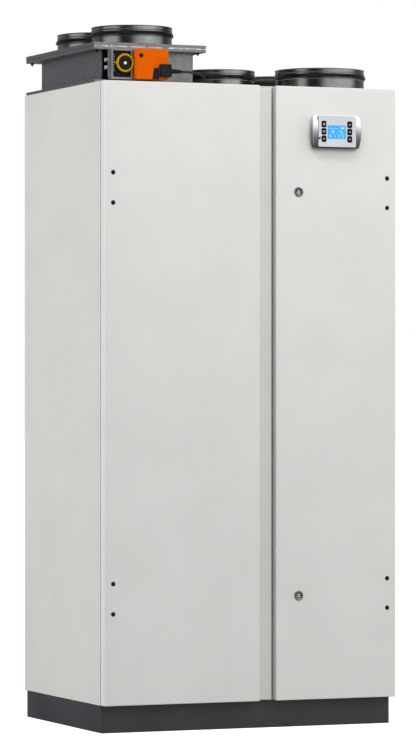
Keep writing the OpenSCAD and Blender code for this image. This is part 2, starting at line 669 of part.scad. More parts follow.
// Clamp on the shaft: a sleeve, the yellow pointer ring in front, and a U-bolt yoke behind
// the casing with two nuts beside its end
module actuator_clamp() color("#d5a400") {
    y_ring = casing_y[0] - 14;
    y_leg = casing_y[1] + 30;
    difference() {
        union() {
            rod_y(drive_x, drive_z, y_ring + 1, y_leg - 7, clamp_r - run);
            rod_y(drive_x, drive_z, y_ring, y_ring + 5, ring_r);
            slab([drive_x - ring_r - 8, y_ring + 1, drive_z - 1.5],
                 [drive_x - ring_r + 2, y_ring + 4, drive_z + 1.5]);
            slab([drive_x - 22, y_leg - 9, drive_z - 20], [drive_x + 10, y_leg + 7, drive_z + 20]);
            for (s = [-1, 1]) {
                z = drive_z + s * leg_gap / 2;
                rod_x(y_leg, z, drive_x - leg_reach, drive_x, 4);
                rod_x(y_leg, z, drive_x - leg_reach + 1, drive_x - leg_reach + 14, 6.5);
            }
        }
        rod_y(drive_x, drive_z, y_ring - 1, y_ring + 3.5, ring_r - ring_w);
        rod_y(drive_x, drive_z, y_ring - 1, y_leg + 10, shaft_r);
    }
}

module actuator_connector() color("#1f2021") {
    x = cover_x[1];
    z = boot_end[2];
    slab([x - 30, cover_y[0] - 12, z - 20], [x, cover_y[0], z + 20]);
    slab([x, cover_y[0] - 12, z - 20], [x + 6, cover_y[0] + 20, z + 20]);
    translate([0, cover_y[0], 0]) rotate([90, 0, 0]) linear_extrude(3)
        polygon([[x - 53, z - 27], [x - 32, z - 27], [x - 32, z + 8], [x - 48, z + 8]]);
    translate([x + 6, boot_end[1], z]) rotate([0, 90, 0])
        cylinder(h = boot_end[0] - x - 6, r1 = 8, r2 = 5.5);
}

function unit(v) = v / norm(v);
function heading(p, i) = unit(p[min(i + 1, len(p) - 1)] - p[max(i - 1, 0)]);

// A round tube along the points of a route
module swept_tube(p, r, sides) {
    rings = [for (i = [0 : len(p) - 1])
        let (t = heading(p, i), n = unit(cross(t, [0, 1, 0])), b = cross(t, n))
        for (k = [0 : sides - 1])
            let (a = 360 * k / sides) p[i] + r * (cos(a) * n + sin(a) * b)];
    last = (len(p) - 1) * sides;
    walls = [for (i = [0 : len(p) - 2], k = [0 : sides - 1])
        let (a = i * sides + k, b = i * sides + (k + 1) % sides)
            [a, a + sides, b + sides, b]];
    polyhedron(rings, concat(
        [[for (k = [0 : sides - 1]) k]], [[for (k = [sides - 1 : -1 : 0]) last + k]], walls), convexity = 6);
}
module actuator_cable() color("#17181a") swept_tube(cable_route, cable_r, 10);

module cable_grommet() color("#17181a") difference() {
    union() {
        rod_z(grommet[0], grommet[1], top_z, top_z + 5, 10);
        rod_z(grommet[0], grommet[1], top_z - sheet - 3, top_z, cable_r + 1.4);
    }
    rod_z(grommet[0], grommet[1], top_z - sheet - 4, top_z + 6, cable_r - 1);
}

// Inner parts

// Counterflow plate exchanger: a six-sided stack between two end plates, with a pull strap
module heat_exchanger() color("#c9cdd0") {
    section = [[0, core_z[0]], [core_half, core_z[1]], [core_half, core_z[2]],
               [0, core_z[3]], [-core_half, core_z[2]], [-core_half, core_z[1]]];
    depth = core_y[1] - core_y[0];
    count = floor(depth / plate_pitch);
    translate([core_x, core_y[1], 0]) rotate([90, 0, 0]) {
        for (i = [0 : count]) translate([0, 0, i * (depth - 1) / count]) linear_extrude(1) polygon(section);
        for (p = section) linear_extrude(depth) intersection() {
            translate(p) circle(9, $fn = 24);
            polygon(section);
        }
        for (s = [-1, 1]) translate([s * (core_half - 0.5), (core_z[1] + core_z[2]) / 2, depth / 2])
            cube([1, core_z[2] - core_z[1], depth], center = true);
    }
    slab([core_x - 70, core_y[0] - 5, 1045], [core_x + 70, core_y[0] + 1, 1075]);
}

// Pleated filter cassettes: supply air on the left, extract air on the right
module filters() color("#e9e9e4") {
    slab([-in_x + 2, in_y0 + 4, filter_z[0]], [core_x - 4, riser_y[0] - 4, filter_z[1]]);
    slab([wall_x[1] + 3, in_y0 + 4, filter_z[0]], [in_x - 2, split_y[0] - 3, filter_z[1]]);
}

// Plug fan frame along +Z from its inlet plate: bellmouth, posts, motor on two arms
module fan_frame() {
    post = fan_plate / 2 - 12;
    difference() {
        translate([-fan_plate / 2, -fan_plate / 2, 0]) cube([fan_plate, fan_plate, 2]);
        translate([0, 0, -1]) cylinder(h = 4, r = eye_r);
    }
    arm = 2 * post * sqrt(2) + 16;
    rotate_extrude() polygon([[eye_r, 1], [eye_r + 6, 1], [eye_r + 1.6, 6], [eye_r + 1.6, 14], [eye_r, 14]]);
    for (i = [-1, 1], j = [-1, 1]) translate([i * post, j * post, 1]) cylinder(h = 110, r = 5);
    for (a = [45, 135]) rotate([0, 0, a]) translate([-arm / 2, -10, 110]) cube([arm, 20, 3]);
    translate([0, 0, 84]) cylinder(h = 27, r = 44);
    translate([0, 0, 62]) cylinder(h = 23, r = 6);
}

// Impeller with seven backward-curved blades between its shroud and its back disc
module impeller() {
    difference() {
        union() {
            translate([0, 0, 74]) cylinder(h = 3, r = fan_r);
            translate([0, 0, 58]) cylinder(h = 19, r = 15);
        }
        translate([0, 0, 50]) cylinder(h = 40, r = 6 + run);
    }
    difference() {
        translate([0, 0, 8]) cylinder(h = 3, r = fan_r);
        translate([0, 0, 7]) cylinder(h = 5, r = eye_r + 5);
    }
    for (k = [0 : 6]) rotate([0, 0, k * 360 / 7]) translate([66, 0, 10.5]) rotate([0, 0, 58])
        translate([0, -1.25, 0]) cube([44, 2.5, 64]);
}

module at_supply_fan() translate([supply_fan[0], riser_y[1], supply_fan[1]]) rotate([-90, 0, 0]) children();
module at_exhaust_fan() translate([middle_duct[0], middle_duct[1], fan_shelf_z + sheet]) children();

module fan_housings() color("#3b3d40") {
    at_supply_fan() fan_frame();
    at_exhaust_fan() fan_frame();
}
module supply_impeller() color("#2b2d30") at_supply_fan() impeller();
module exhaust_impeller() color("#2b2d30") at_exhaust_fan() impeller();

module bypass_flap() color("#b3b6b9") {
    slab([bypass_x - bypass_half, bypass_front + 6, bypass_z - 1.5],
         [bypass_x + bypass_half, riser_y[0] - 4, bypass_z + 1.5]);
    rod_y(bypass_x, bypass_z, bypass_front - 20, riser_y[1] + 4, shaft_r);
}

module bypass_actuator() color("#2a2c2f") difference() {
    slab([bypass_x - 32, bypass_front - 36, bypass_z - 60], [bypass_x + 32, bypass_front, bypass_z + 26]);
    rod_y(bypass_x, bypass_z, bypass_front - 24, bypass_front + 1, shaft_r + run);
}

module condensate_tray() color("#26282b") {
    z = in_z0 + 1;
    difference() {
        slab([-in_x + 4, in_y0 + 4, z], [core_x - 4, riser_y[0] - 4, z + 30]);
        slab([-in_x + 6, in_y0 + 6, z + 2], [core_x - 6, riser_y[0] - 6, z + 31]);
        rod_z(drain[0], drain[1], z - 1, z + 3, drain_r - 3);
    }
    difference() {
        rod_z(drain[0], drain[1], 22, z, drain_r);
        rod_z(drain[0], drain[1], 21, z + 1, drain_r - 3);
    }
}

// Steel box with its lid and the main circuit board
module control_box() color("#b8bbbe") {
    difference() {
        slab([190, -84, 800], [440, split_y[0], 1250]);
        slab([192, -85, 802], [438, split_y[0] - 2, 1248]);
    }
    slab([190, -86.2, 800], [440, -84.2, 1250]);
    slab([210, -20, 830], [420, -18, 1220]);
}

plinth();
floor_panel();
left_side_panel();
right_side_panel();
back_panel();
top_panel();
front_frame();
cabinet_insulation();
inner_partitions();
left_door_skin();
left_door_liner();
left_door_insulation();
left_door_gasket();
left_door_screws();
right_door_skin();
right_door_liner();
right_door_insulation();
right_door_gasket();
right_door_screws();
hinge_arms();
left_hinge_leaves();
right_hinge_leaves();
lock_housings();
upper_lock_barrel();
lower_lock_barrel();
panel_back_shell();
panel_fascia();
panel_display();
button_left_top();
button_left_middle();
button_left_bottom();
button_right_top();
button_right_middle();
button_right_bottom();
damper_box();
damper_lid();
driven_blade();
middle_blade();
end_blade();
damper_link_rod();
damper_bushes();
duct_collars_250();
duct_collar_224();
duct_collar_280();
collar_gaskets();
actuator_casing();
actuator_cover();
actuator_clamp();
actuator_connector();
actuator_cable();
cable_grommet();
heat_exchanger();
filters();
fan_housings();
supply_impeller();
exhaust_impeller();
bypass_flap();
bypass_actuator();
condensate_tray();
control_box();
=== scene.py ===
# A floor-standing heat recovery unit: the looks of its pieces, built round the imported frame.
# Metres, +Z up, the doors face -Y. Each section is one piece or one group of like pieces.
import math
import bmesh
import bpy
from mathutils import Matrix, Vector, noise


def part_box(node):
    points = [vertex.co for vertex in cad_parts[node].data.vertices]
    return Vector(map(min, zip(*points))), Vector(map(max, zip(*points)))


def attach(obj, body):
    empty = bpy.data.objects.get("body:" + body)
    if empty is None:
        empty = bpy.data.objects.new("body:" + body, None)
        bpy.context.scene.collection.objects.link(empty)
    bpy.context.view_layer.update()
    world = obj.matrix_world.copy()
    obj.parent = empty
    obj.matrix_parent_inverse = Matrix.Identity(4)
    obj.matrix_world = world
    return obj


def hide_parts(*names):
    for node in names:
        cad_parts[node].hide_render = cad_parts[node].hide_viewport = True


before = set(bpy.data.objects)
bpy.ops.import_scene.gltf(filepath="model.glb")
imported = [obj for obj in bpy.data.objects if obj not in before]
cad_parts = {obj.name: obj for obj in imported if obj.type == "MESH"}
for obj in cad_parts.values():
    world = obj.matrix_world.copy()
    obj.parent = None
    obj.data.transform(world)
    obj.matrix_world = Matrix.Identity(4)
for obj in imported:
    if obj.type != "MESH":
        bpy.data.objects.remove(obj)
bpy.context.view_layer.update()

scene = bpy.context.scene
mm = 0.001


# Camera, lights and floor
# The unit stands on a white floor and is seen from its left front through a long lens. Soft boxes
# light it from above, the front and the left. The camera sees a white studio, and bare metal
# mirrors a dark one with pale cards in it, in which the lamps don't show.
camera_place = (-4.746, -11.250, 1.057)
camera_turn = -22.85
camera_lens = 183.9
camera_rise = 0.0106
view_depth = 200
key_box = {"place": (1.7, -4.6, 4.3), "aim": (0.0, -0.3, 1.5), "size": (2.6, 1.6), "power": 88}
top_strip = {"place": (-0.5, -1.9, 4.6), "aim": (0.0, -0.2, 2.0), "size": (2.8, 0.7), "power": 52}
left_strip = {"place": (-5.2, -0.2, 1.6), "aim": (-0.4, 0.0, 1.1), "size": (1.6, 3.4), "power": 160}
right_strip = {"place": (3.4, -2.0, 3.0), "aim": (0.2, 0.0, 2.0), "size": (0.35, 2.4), "power": 26}
card_way = (-0.75, 0.66, 0.0)
card_span = (0.40, 0.80)
card_colour = (0.17, 0.19, 0.215)
room_light = 0.72
mirror_dark = (0.045, 0.045, 0.05)
mirror_cards = (
    {"toward": (0.50, -0.86, 0.05), "span": (0.55, 0.90), "colour": (1.2, 1.19, 1.18)},
    {"toward": (0.38, -0.75, 0.62), "span": (0.84, 0.96), "colour": (1.8, 1.8, 1.8)},
    {"toward": (-1.0, -0.10, 0.05), "span": (0.84, 0.97), "colour": (1.1, 1.1, 1.1)},
    {"toward": (0.20, 1.0, 0.0), "span": (0.05, 0.75), "colour": (0.26, 0.285, 0.32)},
    {"toward": (0.0, -0.2, 1.0), "span": (0.72, 0.92), "colour": (0.8, 0.8, 0.8)},
)
floor_shade = (0.35, 0.35, 0.35)
floor_rough = 0.9
floor_radius = 60

scene.view_settings.view_transform = "Standard"
camera_data = bpy.data.cameras.new("camera")
camera_data.lens = camera_lens
camera_data.shift_y = camera_rise
camera_data.clip_end = view_depth
camera = bpy.data.objects.new("camera", camera_data)
camera.location = camera_place
camera.rotation_euler = (math.radians(90), 0, math.radians(camera_turn))
scene.collection.objects.link(camera)
scene.camera = camera


def soft_box(name, place, aim, size, power):
    """A rectangular light that faces a point. Neither the camera nor a mirror sees it."""
    light = bpy.data.lights.new(name, "AREA")
    light.shape = "RECTANGLE"
    light.size, light.size_y = size
    light.energy = power
    lamp = bpy.data.objects.new(name, light)
    lamp.location = place
    lamp.rotation_euler = (Vector(aim) - Vector(place)).to_track_quat("-Z", "Y").to_euler()
    lamp.visible_camera = False
    lamp.visible_glossy = False
    scene.collection.objects.link(lamp)


soft_box("key_box", **key_box)
soft_box("top_strip", **top_strip)
soft_box("left_strip", **left_strip)
soft_box("right_strip", **right_strip)

world = bpy.data.worlds.new("studio")
world.use_nodes = True
scene.world = world
studio = world.node_tree
way = studio.nodes.new("ShaderNodeTexCoord").outputs["Generated"]


def facing(direction):
    """How closely a ray points along a direction, from -1 to 1."""
    dot = studio.nodes.new("ShaderNodeVectorMath")
    dot.operation = "DOT_PRODUCT"
    dot.inputs[1].default_value = Vector(direction).normalized()
    studio.links.new(way, dot.inputs[0])
    return dot.outputs["Value"]


card_edge = studio.nodes.new("ShaderNodeValToRGB")
for stop, position, colour in zip(card_edge.color_ramp.elements, card_span, ((1, 1, 1), card_colour)):
    stop.position = position
    stop.color = (*colour, 1)
studio.links.new(facing(card_way), card_edge.inputs["Fac"])
mirrored = studio.nodes.new("ShaderNodeRGB").outputs["Color"]
mirrored.default_value = (*mirror_dark, 1)
for card in mirror_cards:
    edge = studio.nodes.new("ShaderNodeMapRange")
    edge.interpolation_type = "SMOOTHSTEP"
    edge.inputs["From Min"].default_value, edge.inputs["From Max"].default_value = card["span"]
    studio.links.new(facing(card["toward"]), edge.inputs["Value"])
    layer = studio.nodes.new("ShaderNodeMixRGB")
    layer.inputs["Color2"].default_value = (*card["colour"], 1)
    studio.links.new(edge.outputs["Result"], layer.inputs["Fac"])
    studio.links.new(mirrored, layer.inputs["Color1"])
    mirrored = layer.outputs["Color"]
ray = studio.nodes.new("ShaderNodeLightPath").outputs
by_ray = studio.nodes.new("ShaderNodeMixRGB")
studio.links.new(ray["Is Glossy Ray"], by_ray.inputs["Fac"])
studio.links.new(card_edge.outputs["Color"], by_ray.inputs["Color1"])
studio.links.new(mirrored, by_ray.inputs["Color2"])
studio.links.new(by_ray.outputs["Color"], studio.nodes["Background"].inputs["Color"])
wall_light = studio.nodes.new("ShaderNodeMapRange")
wall_light.inputs["To Min"].default_value = room_light
bright_ray = studio.nodes.new("ShaderNodeMath")
bright_ray.operation = "MAXIMUM"
studio.links.new(ray["Is Camera Ray"], bright_ray.inputs[0])
studio.links.new(ray["Is Glossy Ray"], bright_ray.inputs[1])
studio.links.new(bright_ray.outputs["Value"], wall_light.inputs["Value"])
studio.links.new(wall_light.outputs["Result"], studio.nodes["Background"].inputs["Strength"])

floor_mesh = bmesh.new()
bmesh.ops.create_circle(floor_mesh, cap_ends=True, segments=96, radius=floor_radius)
floor_data = bpy.data.meshes.new("studio_floor")
floor_mesh.to_mesh(floor_data)
floor_mesh.free()
floor_white = bpy.data.materials.new("floor_white")
floor_white.use_nodes = True
floor_shader = floor_white.node_tree.nodes["Principled BSDF"]
floor_shader.inputs["Base Color"].default_value = (*floor_shade, 1)
floor_shader.inputs["Roughness"].default_value = floor_rough
floor_shader.inputs["Emission Color"].default_value = (1, 1, 1, 1)
seen = floor_white.node_tree.nodes.new("ShaderNodeLightPath").outputs["Is Camera Ray"]
floor_white.node_tree.links.new(seen, floor_shader.inputs["Emission Strength"])
floor_data.materials.append(floor_white)
studio_floor = bpy.data.objects.new("studio_floor", floor_data)
scene.collection.objects.link(studio_floor)


# Cable of the damper drive
# A round black cable with a soft plastic jacket. It leaves the drive's plug, runs level along
# the front of the damper box, and bends down through a grommet into the roof.
cable_black = ("101113", "1b1c1f")
cable_diameter = 8 * mm
cable_route = [
    (-218, -290, 2022), (-211, -290, 2022), (-204, -289.8, 2021.9), (-197, -289.2, 2021.7),
    (-190, -288.4, 2021.4), (-183, -287.4, 2021), (-176, -286.4, 2020.5), (-169, -285.2, 2020),
    (-162, -284, 2019.4), (-155, -282.8, 2018.5), (-149, -281.8, 2017), (-143.8, -281, 2014.4),
    (-139.4, -280.4, 2010.6), (-136.4, -280.1, 2005.8), (-134.8, -280, 2000.2),
    (-134, -280, 1994.6), (-134, -280, 1990),
]


def linear(code):
    """The linear colour of a hexadecimal code such as e4e4e1."""
    channels = [int(code[i:i + 2], 16) / 255 for i in (0, 2, 4)]
    return [c / 12.92 if c <= 0.04045 else ((c + 0.055) / 1.055) ** 2.4 for c in channels]


def new_finish(name, **sockets):
    """A material: itself, its tree, its shader and the piece's own coordinates."""
    finish = bpy.data.materials.new(name)
    finish.use_nodes = True
    tree = finish.node_tree
    shader = tree.nodes["Principled BSDF"]
    for socket, value in sockets.items():
        shader.inputs[socket.replace("_", " ")].default_value = value
    place = tree.nodes.new("ShaderNodeTexCoord").outputs["Object"]
    return finish, tree, shader, place


def cloud(tree, place, scale, detail=3.0, stretch=(1, 1, 1)):
    """Noise over the piece. scale is in patches per metre, along stretched axes."""
    mapping = tree.nodes.new("ShaderNodeMapping")
    mapping.inputs["Scale"].default_value = stretch
    tree.links.new(place, mapping.inputs["Vector"])
    texture = tree.nodes.new("ShaderNodeTexNoise")
    texture.inputs["Scale"].default_value = scale
    texture.inputs["Detail"].default_value = detail
    tree.links.new(mapping.outputs["Vector"], texture.inputs["Vector"])
    return texture.outputs["Fac"]


def tint(tree, shader, factor, codes, span=(0.35, 0.65)):
    """The base colour goes through these colours as the factor crosses the span."""
    ramp = tree.nodes.new("ShaderNodeValToRGB")
    stops = ramp.color_ramp.elements
    while len(stops) < len(codes):
        stops.new(0.5)
    for i, (stop, code) in enumerate(zip(stops, codes)):
        stop.position = span[0] + (span[1] - span[0]) * i / (len(codes) - 1)
        stop.color = (*linear(code), 1)
    tree.links.new(factor, ramp.inputs["Fac"])
    tree.links.new(ramp.outputs["Color"], shader.inputs["Base Color"])


def gloss(tree, shader, factor, low, high):
    """The roughness drifts from low to high with the factor."""
    span = tree.nodes.new("ShaderNodeMapRange")
    for socket, value in zip(("From Min", "From Max", "To Min", "To Max"), (0.3, 0.7, low, high)):
        span.inputs[socket].default_value = value
    tree.links.new(factor, span.inputs["Value"])
    tree.links.new(span.outputs["Result"], shader.inputs["Roughness"])


def relief(tree, shader, factor, height):
    """Bumps of that height on top of any that are there."""
    bump = tree.nodes.new("ShaderNodeBump")
    bump.inputs["Distance"].default_value = height
    tree.links.new(factor, bump.inputs["Height"])
    below = shader.inputs["Normal"]
    if below.is_linked:
        tree.links.new(below.links[0].from_socket, bump.inputs["Normal"])
    tree.links.new(bump.outputs["Normal"], below)


def moulded(name, codes, rough, patch=8, grain=1100, height=0.02 * mm, **sockets):
    """Moulded plastic or rubber: a faint drift of colour and gloss, and a spark-eroded grain."""
    finish, tree, shader, place = new_finish(name, **sockets)
    drift = cloud(tree, place, patch)
    tint(tree, shader, drift, codes)
    gloss(tree, shader, drift, *rough)
    relief(tree, shader, cloud(tree, place, grain, 2), height)
    return finish


cable_jacket = moulded("cable_jacket", cable_black, (0.38, 0.5), patch=90, grain=1500)
cable_points = [Vector(point) * mm for point in cable_route]
cable_curve = bpy.data.curves.new("drive_cable", "CURVE")
cable_curve.dimensions = "3D"
cable_curve.bevel_depth = cable_diameter / 2
cable_curve.bevel_resolution = 5
cable_curve.resolution_u = 3
cable_curve.use_fill_caps = True
cable_line = cable_curve.splines.new("BEZIER")
cable_line.bezier_points.add(len(cable_points) - 1)
for bezier, point in zip(cable_line.bezier_points, cable_points):
    bezier.co = point
    bezier.handle_left_type = bezier.handle_right_type = "AUTO"
cable_curve.materials.append(cable_jacket)
drive_cable = bpy.data.objects.new("drive_cable", cable_curve)
scene.collection.objects.link(drive_cable)
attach(drive_cable, "cabinet")
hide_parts("actuator_cable")


# Plinth
# A base ring of folded 3 mm steel with a rim turned in under it, powder-coated dark grey. Its
# corners are bent and welded, and the cabinet is bolted down on its upper edge.
plinth_grey = ("2b2c2f", "333539")
plinth_wall = 3 * mm
plinth_rim = 30 * mm
plinth_corner = 4 * mm


def powder_coat(name, codes, rough=(0.4, 0.5), peel=380, height=0.03 * mm, **sockets):
    """Powder coat: a faint drift over the sheet, orange peel, and specks in the gloss."""
    finish, tree, shader, place = new_finish(name, **sockets)
    tint(tree, shader, cloud(tree, place, 5, 4), codes)
    gloss(tree, shader, cloud(tree, place, 60, 4), *rough)
    relief(tree, shader, cloud(tree, place, peel, 2), height)
    return finish


def cube_between(bm, lo, hi):
    """A plain block between two corners: its faces."""
    lo, hi = Vector(lo), Vector(hi)
    verts = bmesh.ops.create_cube(bm, size=1.0)["verts"]
    bmesh.ops.scale(bm, vec=hi - lo, verts=verts)
    bmesh.ops.translate(bm, vec=(lo + hi) / 2, verts=verts)
    return list({face for vert in verts for face in vert.link_faces})


def round_off(bm, edges, radius, segments=3):
    """Rounds edges, and shades only the round part smooth so that the flats stay flat."""
    made = bmesh.ops.bevel(bm, geom=list(edges), offset=radius, segments=segments,
                           affect="EDGES", profile=0.5, material=-1, clamp_overlap=True)
    for face in made["faces"]:
        face.smooth = True


def face_toward(faces, way):
    """The face that looks most along a direction."""
    return max(faces, key=lambda face: face.normal.dot(Vector(way)))


def edges_of(faces):
    """Every edge of those faces."""
    return {edge for face in faces for edge in face.edges}


def verts_in(geom):
    """The vertices in what an operator made."""
    return [item for item in geom if isinstance(item, bmesh.types.BMVert)]


def edges_along(edges, axis):
    """Those edges that run along axis 0, 1 or 2."""
    found = []
    for edge in edges:
        run = edge.verts[1].co - edge.verts[0].co
        if abs(run[axis]) > 0.99 * run.length:
            found.append(edge)
    return found


def add_piece(name, bm, finish, body, slot, *stands_for):
    """An object in place from a bmesh. It rides on a body and may stand for CAD nodes."""
    crease = math.radians(38)
    for edge in bm.edges:
        if edge.is_manifold and edge.calc_face_angle() > crease:
            edge.smooth = False
    mesh = bpy.data.meshes.new(name)
    bm.to_mesh(mesh)
    bm.free()
    mesh.materials.append(finish)
    piece = bpy.data.objects.new(name, mesh)
    scene.collection.objects.link(piece)
    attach(piece, body)
    if stands_for:
        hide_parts(*stands_for)
    return piece


def sheet_metal(piece, thickness, even=True):
    """Gives an open shell its thickness, inwards from its outer face."""
    wall = piece.modifiers.new("thickness", "SOLIDIFY")
    wall.thickness = thickness
    wall.offset = -1
    wall.use_even_offset = even


plinth_coat = powder_coat("plinth_coat", plinth_grey, (0.42, 0.55), peel=500)
plinth_lo, plinth_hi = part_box("plinth")
bm = bmesh.new()
faces = cube_between(bm, plinth_lo, plinth_hi)
bmesh.ops.delete(bm, geom=[face_toward(faces, (0, 0, 1))], context="FACES_ONLY")
underside = face_toward(bm.faces, (0, 0, -1))
bmesh.ops.inset_region(bm, faces=[underside], thickness=plinth_rim, use_even_offset=True)
bmesh.ops.delete(bm, geom=[underside], context="FACES_ONLY")
round_off(bm, edges_along(bm.edges, 2), plinth_corner, 4)
sheet_metal(add_piece("plinth_ring", bm, plinth_coat, "cabinet", "plinth_paint", "plinth"), plinth_wall)


# Side panels, floor and roof of the carcass
# 2 mm steel sheets, powder-coated light grey. The side panels have a folded edge that hides
# the cut, and the floor and roof sheets sit between them.
body_grey = ("cfcdc9", "d3d1cd")
panel_fold = 0.9 * mm

body_coat = powder_coat("body_coat", body_grey)


def block(bm, lo, hi, radius=0.0, segments=2):
    """A block between two corners with its edges rounded."""
    faces = cube_between(bm, lo, hi)
    if radius:
        round_off(bm, edges_of(faces), radius, segments)


def dress(finish, *nodes):
    """Gives CAD nodes their finish."""
    for node in nodes:
        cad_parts[node].data.materials.clear()
        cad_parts[node].data.materials.append(finish)


for node in ("left_side_panel", "right_side_panel"):
    bm = bmesh.new()
    block(bm, *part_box(node), panel_fold, 3)
    add_piece(node + "_sheet", bm, body_coat, "cabinet", "body_paint", node)
dress(body_coat, "top_panel")


# Back panel
# One 2 mm sheet with a shallow pressed field that stiffens it, and pan-head screws every
# 185 mm along its edges.
field_margin = 70 * mm
field_depth = 1.2 * mm
screw_inset = 14 * mm
screw_pitch = 185 * mm
back_screw_r = 4.5 * mm
zinc_tones = ("83868a", "a6a9ad")


def take_in(bm, part):
    """Moves a part's mesh into another one."""
    carrier = bpy.data.meshes.new("carrier")
    part.to_mesh(carrier)
    part.free()
    bm.from_mesh(carrier)
    bpy.data.meshes.remove(carrier)


def in_mm(*points):
    """Points given in millimetres, in metres."""
    return [tuple(value * mm for value in point) for point in points]


def stand_at(bm, centre, axis):
    """Turns everything from upright to an axis, and moves it to a centre."""
    turn = Vector((0, 0, 1)).rotation_difference(Vector(axis)).to_matrix().to_4x4()
    bmesh.ops.transform(bm, matrix=Matrix.Translation(centre) @ turn, verts=bm.verts)


def turned(bm, outline, centre, axis, steps=96, closed=True):
    """Spins an outline of (radius, height) points about an axis through centre."""
    part = bmesh.new()
    verts = [part.verts.new((radius, 0, height)) for radius, height in outline]
    ends = verts[1:] + verts[:1] if closed else verts[1:]
    edges = [part.edges.new(pair) for pair in zip(verts, ends)]
    bmesh.ops.spin(part, geom=verts + edges, cent=(0, 0, 0), axis=(0, 0, 1), dvec=(0, 0, 0),
                   angle=math.tau, steps=steps, use_merge=True, use_duplicate=False)
    bmesh.ops.remove_doubles(part, verts=part.verts, dist=1e-7)
    stand_at(part, centre, axis)
    bmesh.ops.recalc_face_normals(part, faces=part.faces)
    for face in part.faces:
        face.smooth = True
    take_in(bm, part)


def pan_head(bm, place, axis, radius):
    """A pan-head screw's head."""
    rise = 0.55 * radius
    outline = [(0, rise), (0.55 * radius, 0.93 * rise), (0.88 * radius, 0.6 * rise),
               (radius, 0.15 * rise), (radius, -0.2 * rise), (0, -0.2 * rise)]
    turned(bm, outline, place, axis, steps=14, closed=False)


def spangled(name, codes, rough, flakes=75, metallic=1.0):
    """Zinc-coated steel: flakes of different tone and gloss."""
    finish, tree, shader, place = new_finish(name, Metallic=metallic)
    cells = tree.nodes.new("ShaderNodeTexVoronoi")
    cells.inputs["Scale"].default_value = flakes
    tree.links.new(place, cells.inputs["Vector"])
    flake = tree.nodes.new("ShaderNodeSeparateColor")
    tree.links.new(cells.outputs["Color"], flake.inputs["Color"])
    tint(tree, shader, flake.outputs["Red"], codes, (0.0, 1.0))
    gloss(tree, shader, flake.outputs["Green"], *rough)
    relief(tree, shader, cloud(tree, place, 30, 2), 0.04 * mm)
    return finish


zinc_plate = spangled("zinc_plate", zinc_tones, (0.3, 0.42), flakes=400)
back_lo, back_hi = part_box("back_panel")
bm = bmesh.new()
faces = cube_between(bm, back_lo, back_hi)
outer = face_toward(faces, (0, 1, 0))
bmesh.ops.inset_region(bm, faces=[outer], thickness=field_margin, use_even_offset=True)
bmesh.ops.inset_region(bm, faces=[outer], thickness=4 * field_depth, depth=-field_depth,
                       use_even_offset=True)
add_piece("back_sheet", bm, body_coat, "cabinet", "body_paint", "back_panel")
bm = bmesh.new()
rows = round((back_hi.z - back_lo.z - 2 * screw_inset) / screw_pitch)
columns = round((back_hi.x - back_lo.x - 2 * screw_inset) / screw_pitch)
for i in range(rows + 1):
    height = back_lo.z + screw_inset + (back_hi.z - back_lo.z - 2 * screw_inset) * i / rows
    for x in (back_lo.x + screw_inset, back_hi.x - screw_inset):
        pan_head(bm, (x, back_hi.y, height), (0, 1, 0), back_screw_r)
for i in range(1, columns):
    x = back_lo.x + screw_inset + (back_hi.x - back_lo.x - 2 * screw_inset) * i / columns
    for height in (back_lo.z + screw_inset, back_hi.z - screw_inset):
        pan_head(bm, (x, back_hi.y, height), (0, 1, 0), back_screw_r)
add_piece("back_screws", bm, zinc_plate, "cabinet", "zinc_steel")


# Front frame with its centre post
# The sheet that the doors close on, with two openings whose edges are folded back, and the
# raised post between the doors: a folded channel with round bends, a little lower than the doors.
frame_fold = 3 * mm
frame_openings = ((-431 * mm, -34 * mm), (134 * mm, 431 * mm))
frame_open_z = (147 * mm, 1923 * mm)
post_x = (28 * mm, 74 * mm)
post_rise = 16 * mm
post_bend = 2.5 * mm
post_z = (87 * mm, 1980.5 * mm)
post_sheet = 1.5 * mm
sheet = 2 * mm


def cut_across(bm, axis, value):
    """Cuts every face where it crosses a value along an axis."""
    normal = Vector((0, 0, 0))
    normal[axis] = 1
    bmesh.ops.bisect_plane(bm, geom=bm.verts[:] + bm.edges[:] + bm.faces[:], dist=1e-7,
                           plane_co=normal * value, plane_no=normal)


def face_nearest(faces, point):
    """The face whose middle is nearest to a point."""
    return min(faces, key=lambda face: (face.calc_center_median() - point).length)


frame_lo, frame_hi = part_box("front_frame")
frame_front = frame_hi.y - sheet
for side, span, opening in (("left", (frame_lo.x, post_x[0]), frame_openings[0]),
                            ("right", (post_x[1], frame_hi.x), frame_openings[1])):
    bm = bmesh.new()
    lo = Vector((span[0], frame_front, frame_lo.z))
    hi = Vector((span[1], frame_front, frame_hi.z))
    corners = [bm.verts.new(p) for p in (lo, (hi.x, lo.y, lo.z), hi, (lo.x, lo.y, hi.z))]
    bm.faces.new(corners)
    for axis, values in ((0, opening), (2, frame_open_z)):
        for value in values:
            cut_across(bm, axis, value)
    hole = face_nearest(bm.faces, Vector((sum(opening) / 2, frame_front, sum(frame_open_z) / 2)))
    rim = list(hole.edges)
    bmesh.ops.delete(bm, geom=[hole], context="FACES_ONLY")
    turned_in = bmesh.ops.extrude_edge_only(bm, edges=rim)["geom"]
    bmesh.ops.translate(bm, vec=(0, frame_fold, 0), verts=verts_in(turned_in))
    bmesh.ops.recalc_face_normals(bm, faces=bm.faces)
    if face_toward(bm.faces, (0, -1, 0)).normal.y > -0.9:
        bmesh.ops.reverse_faces(bm, faces=bm.faces)
    stands_for = ("front_frame",) if side == "left" else ()
    half = add_piece(side + "_front_frame", bm, body_coat, "cabinet", "body_paint", *stands_for)
    sheet_metal(half, sheet)
bm = bmesh.new()
faces = cube_between(bm, (post_x[0], frame_front - post_rise, post_z[0]),
                     (post_x[1], frame_front, post_z[1]))
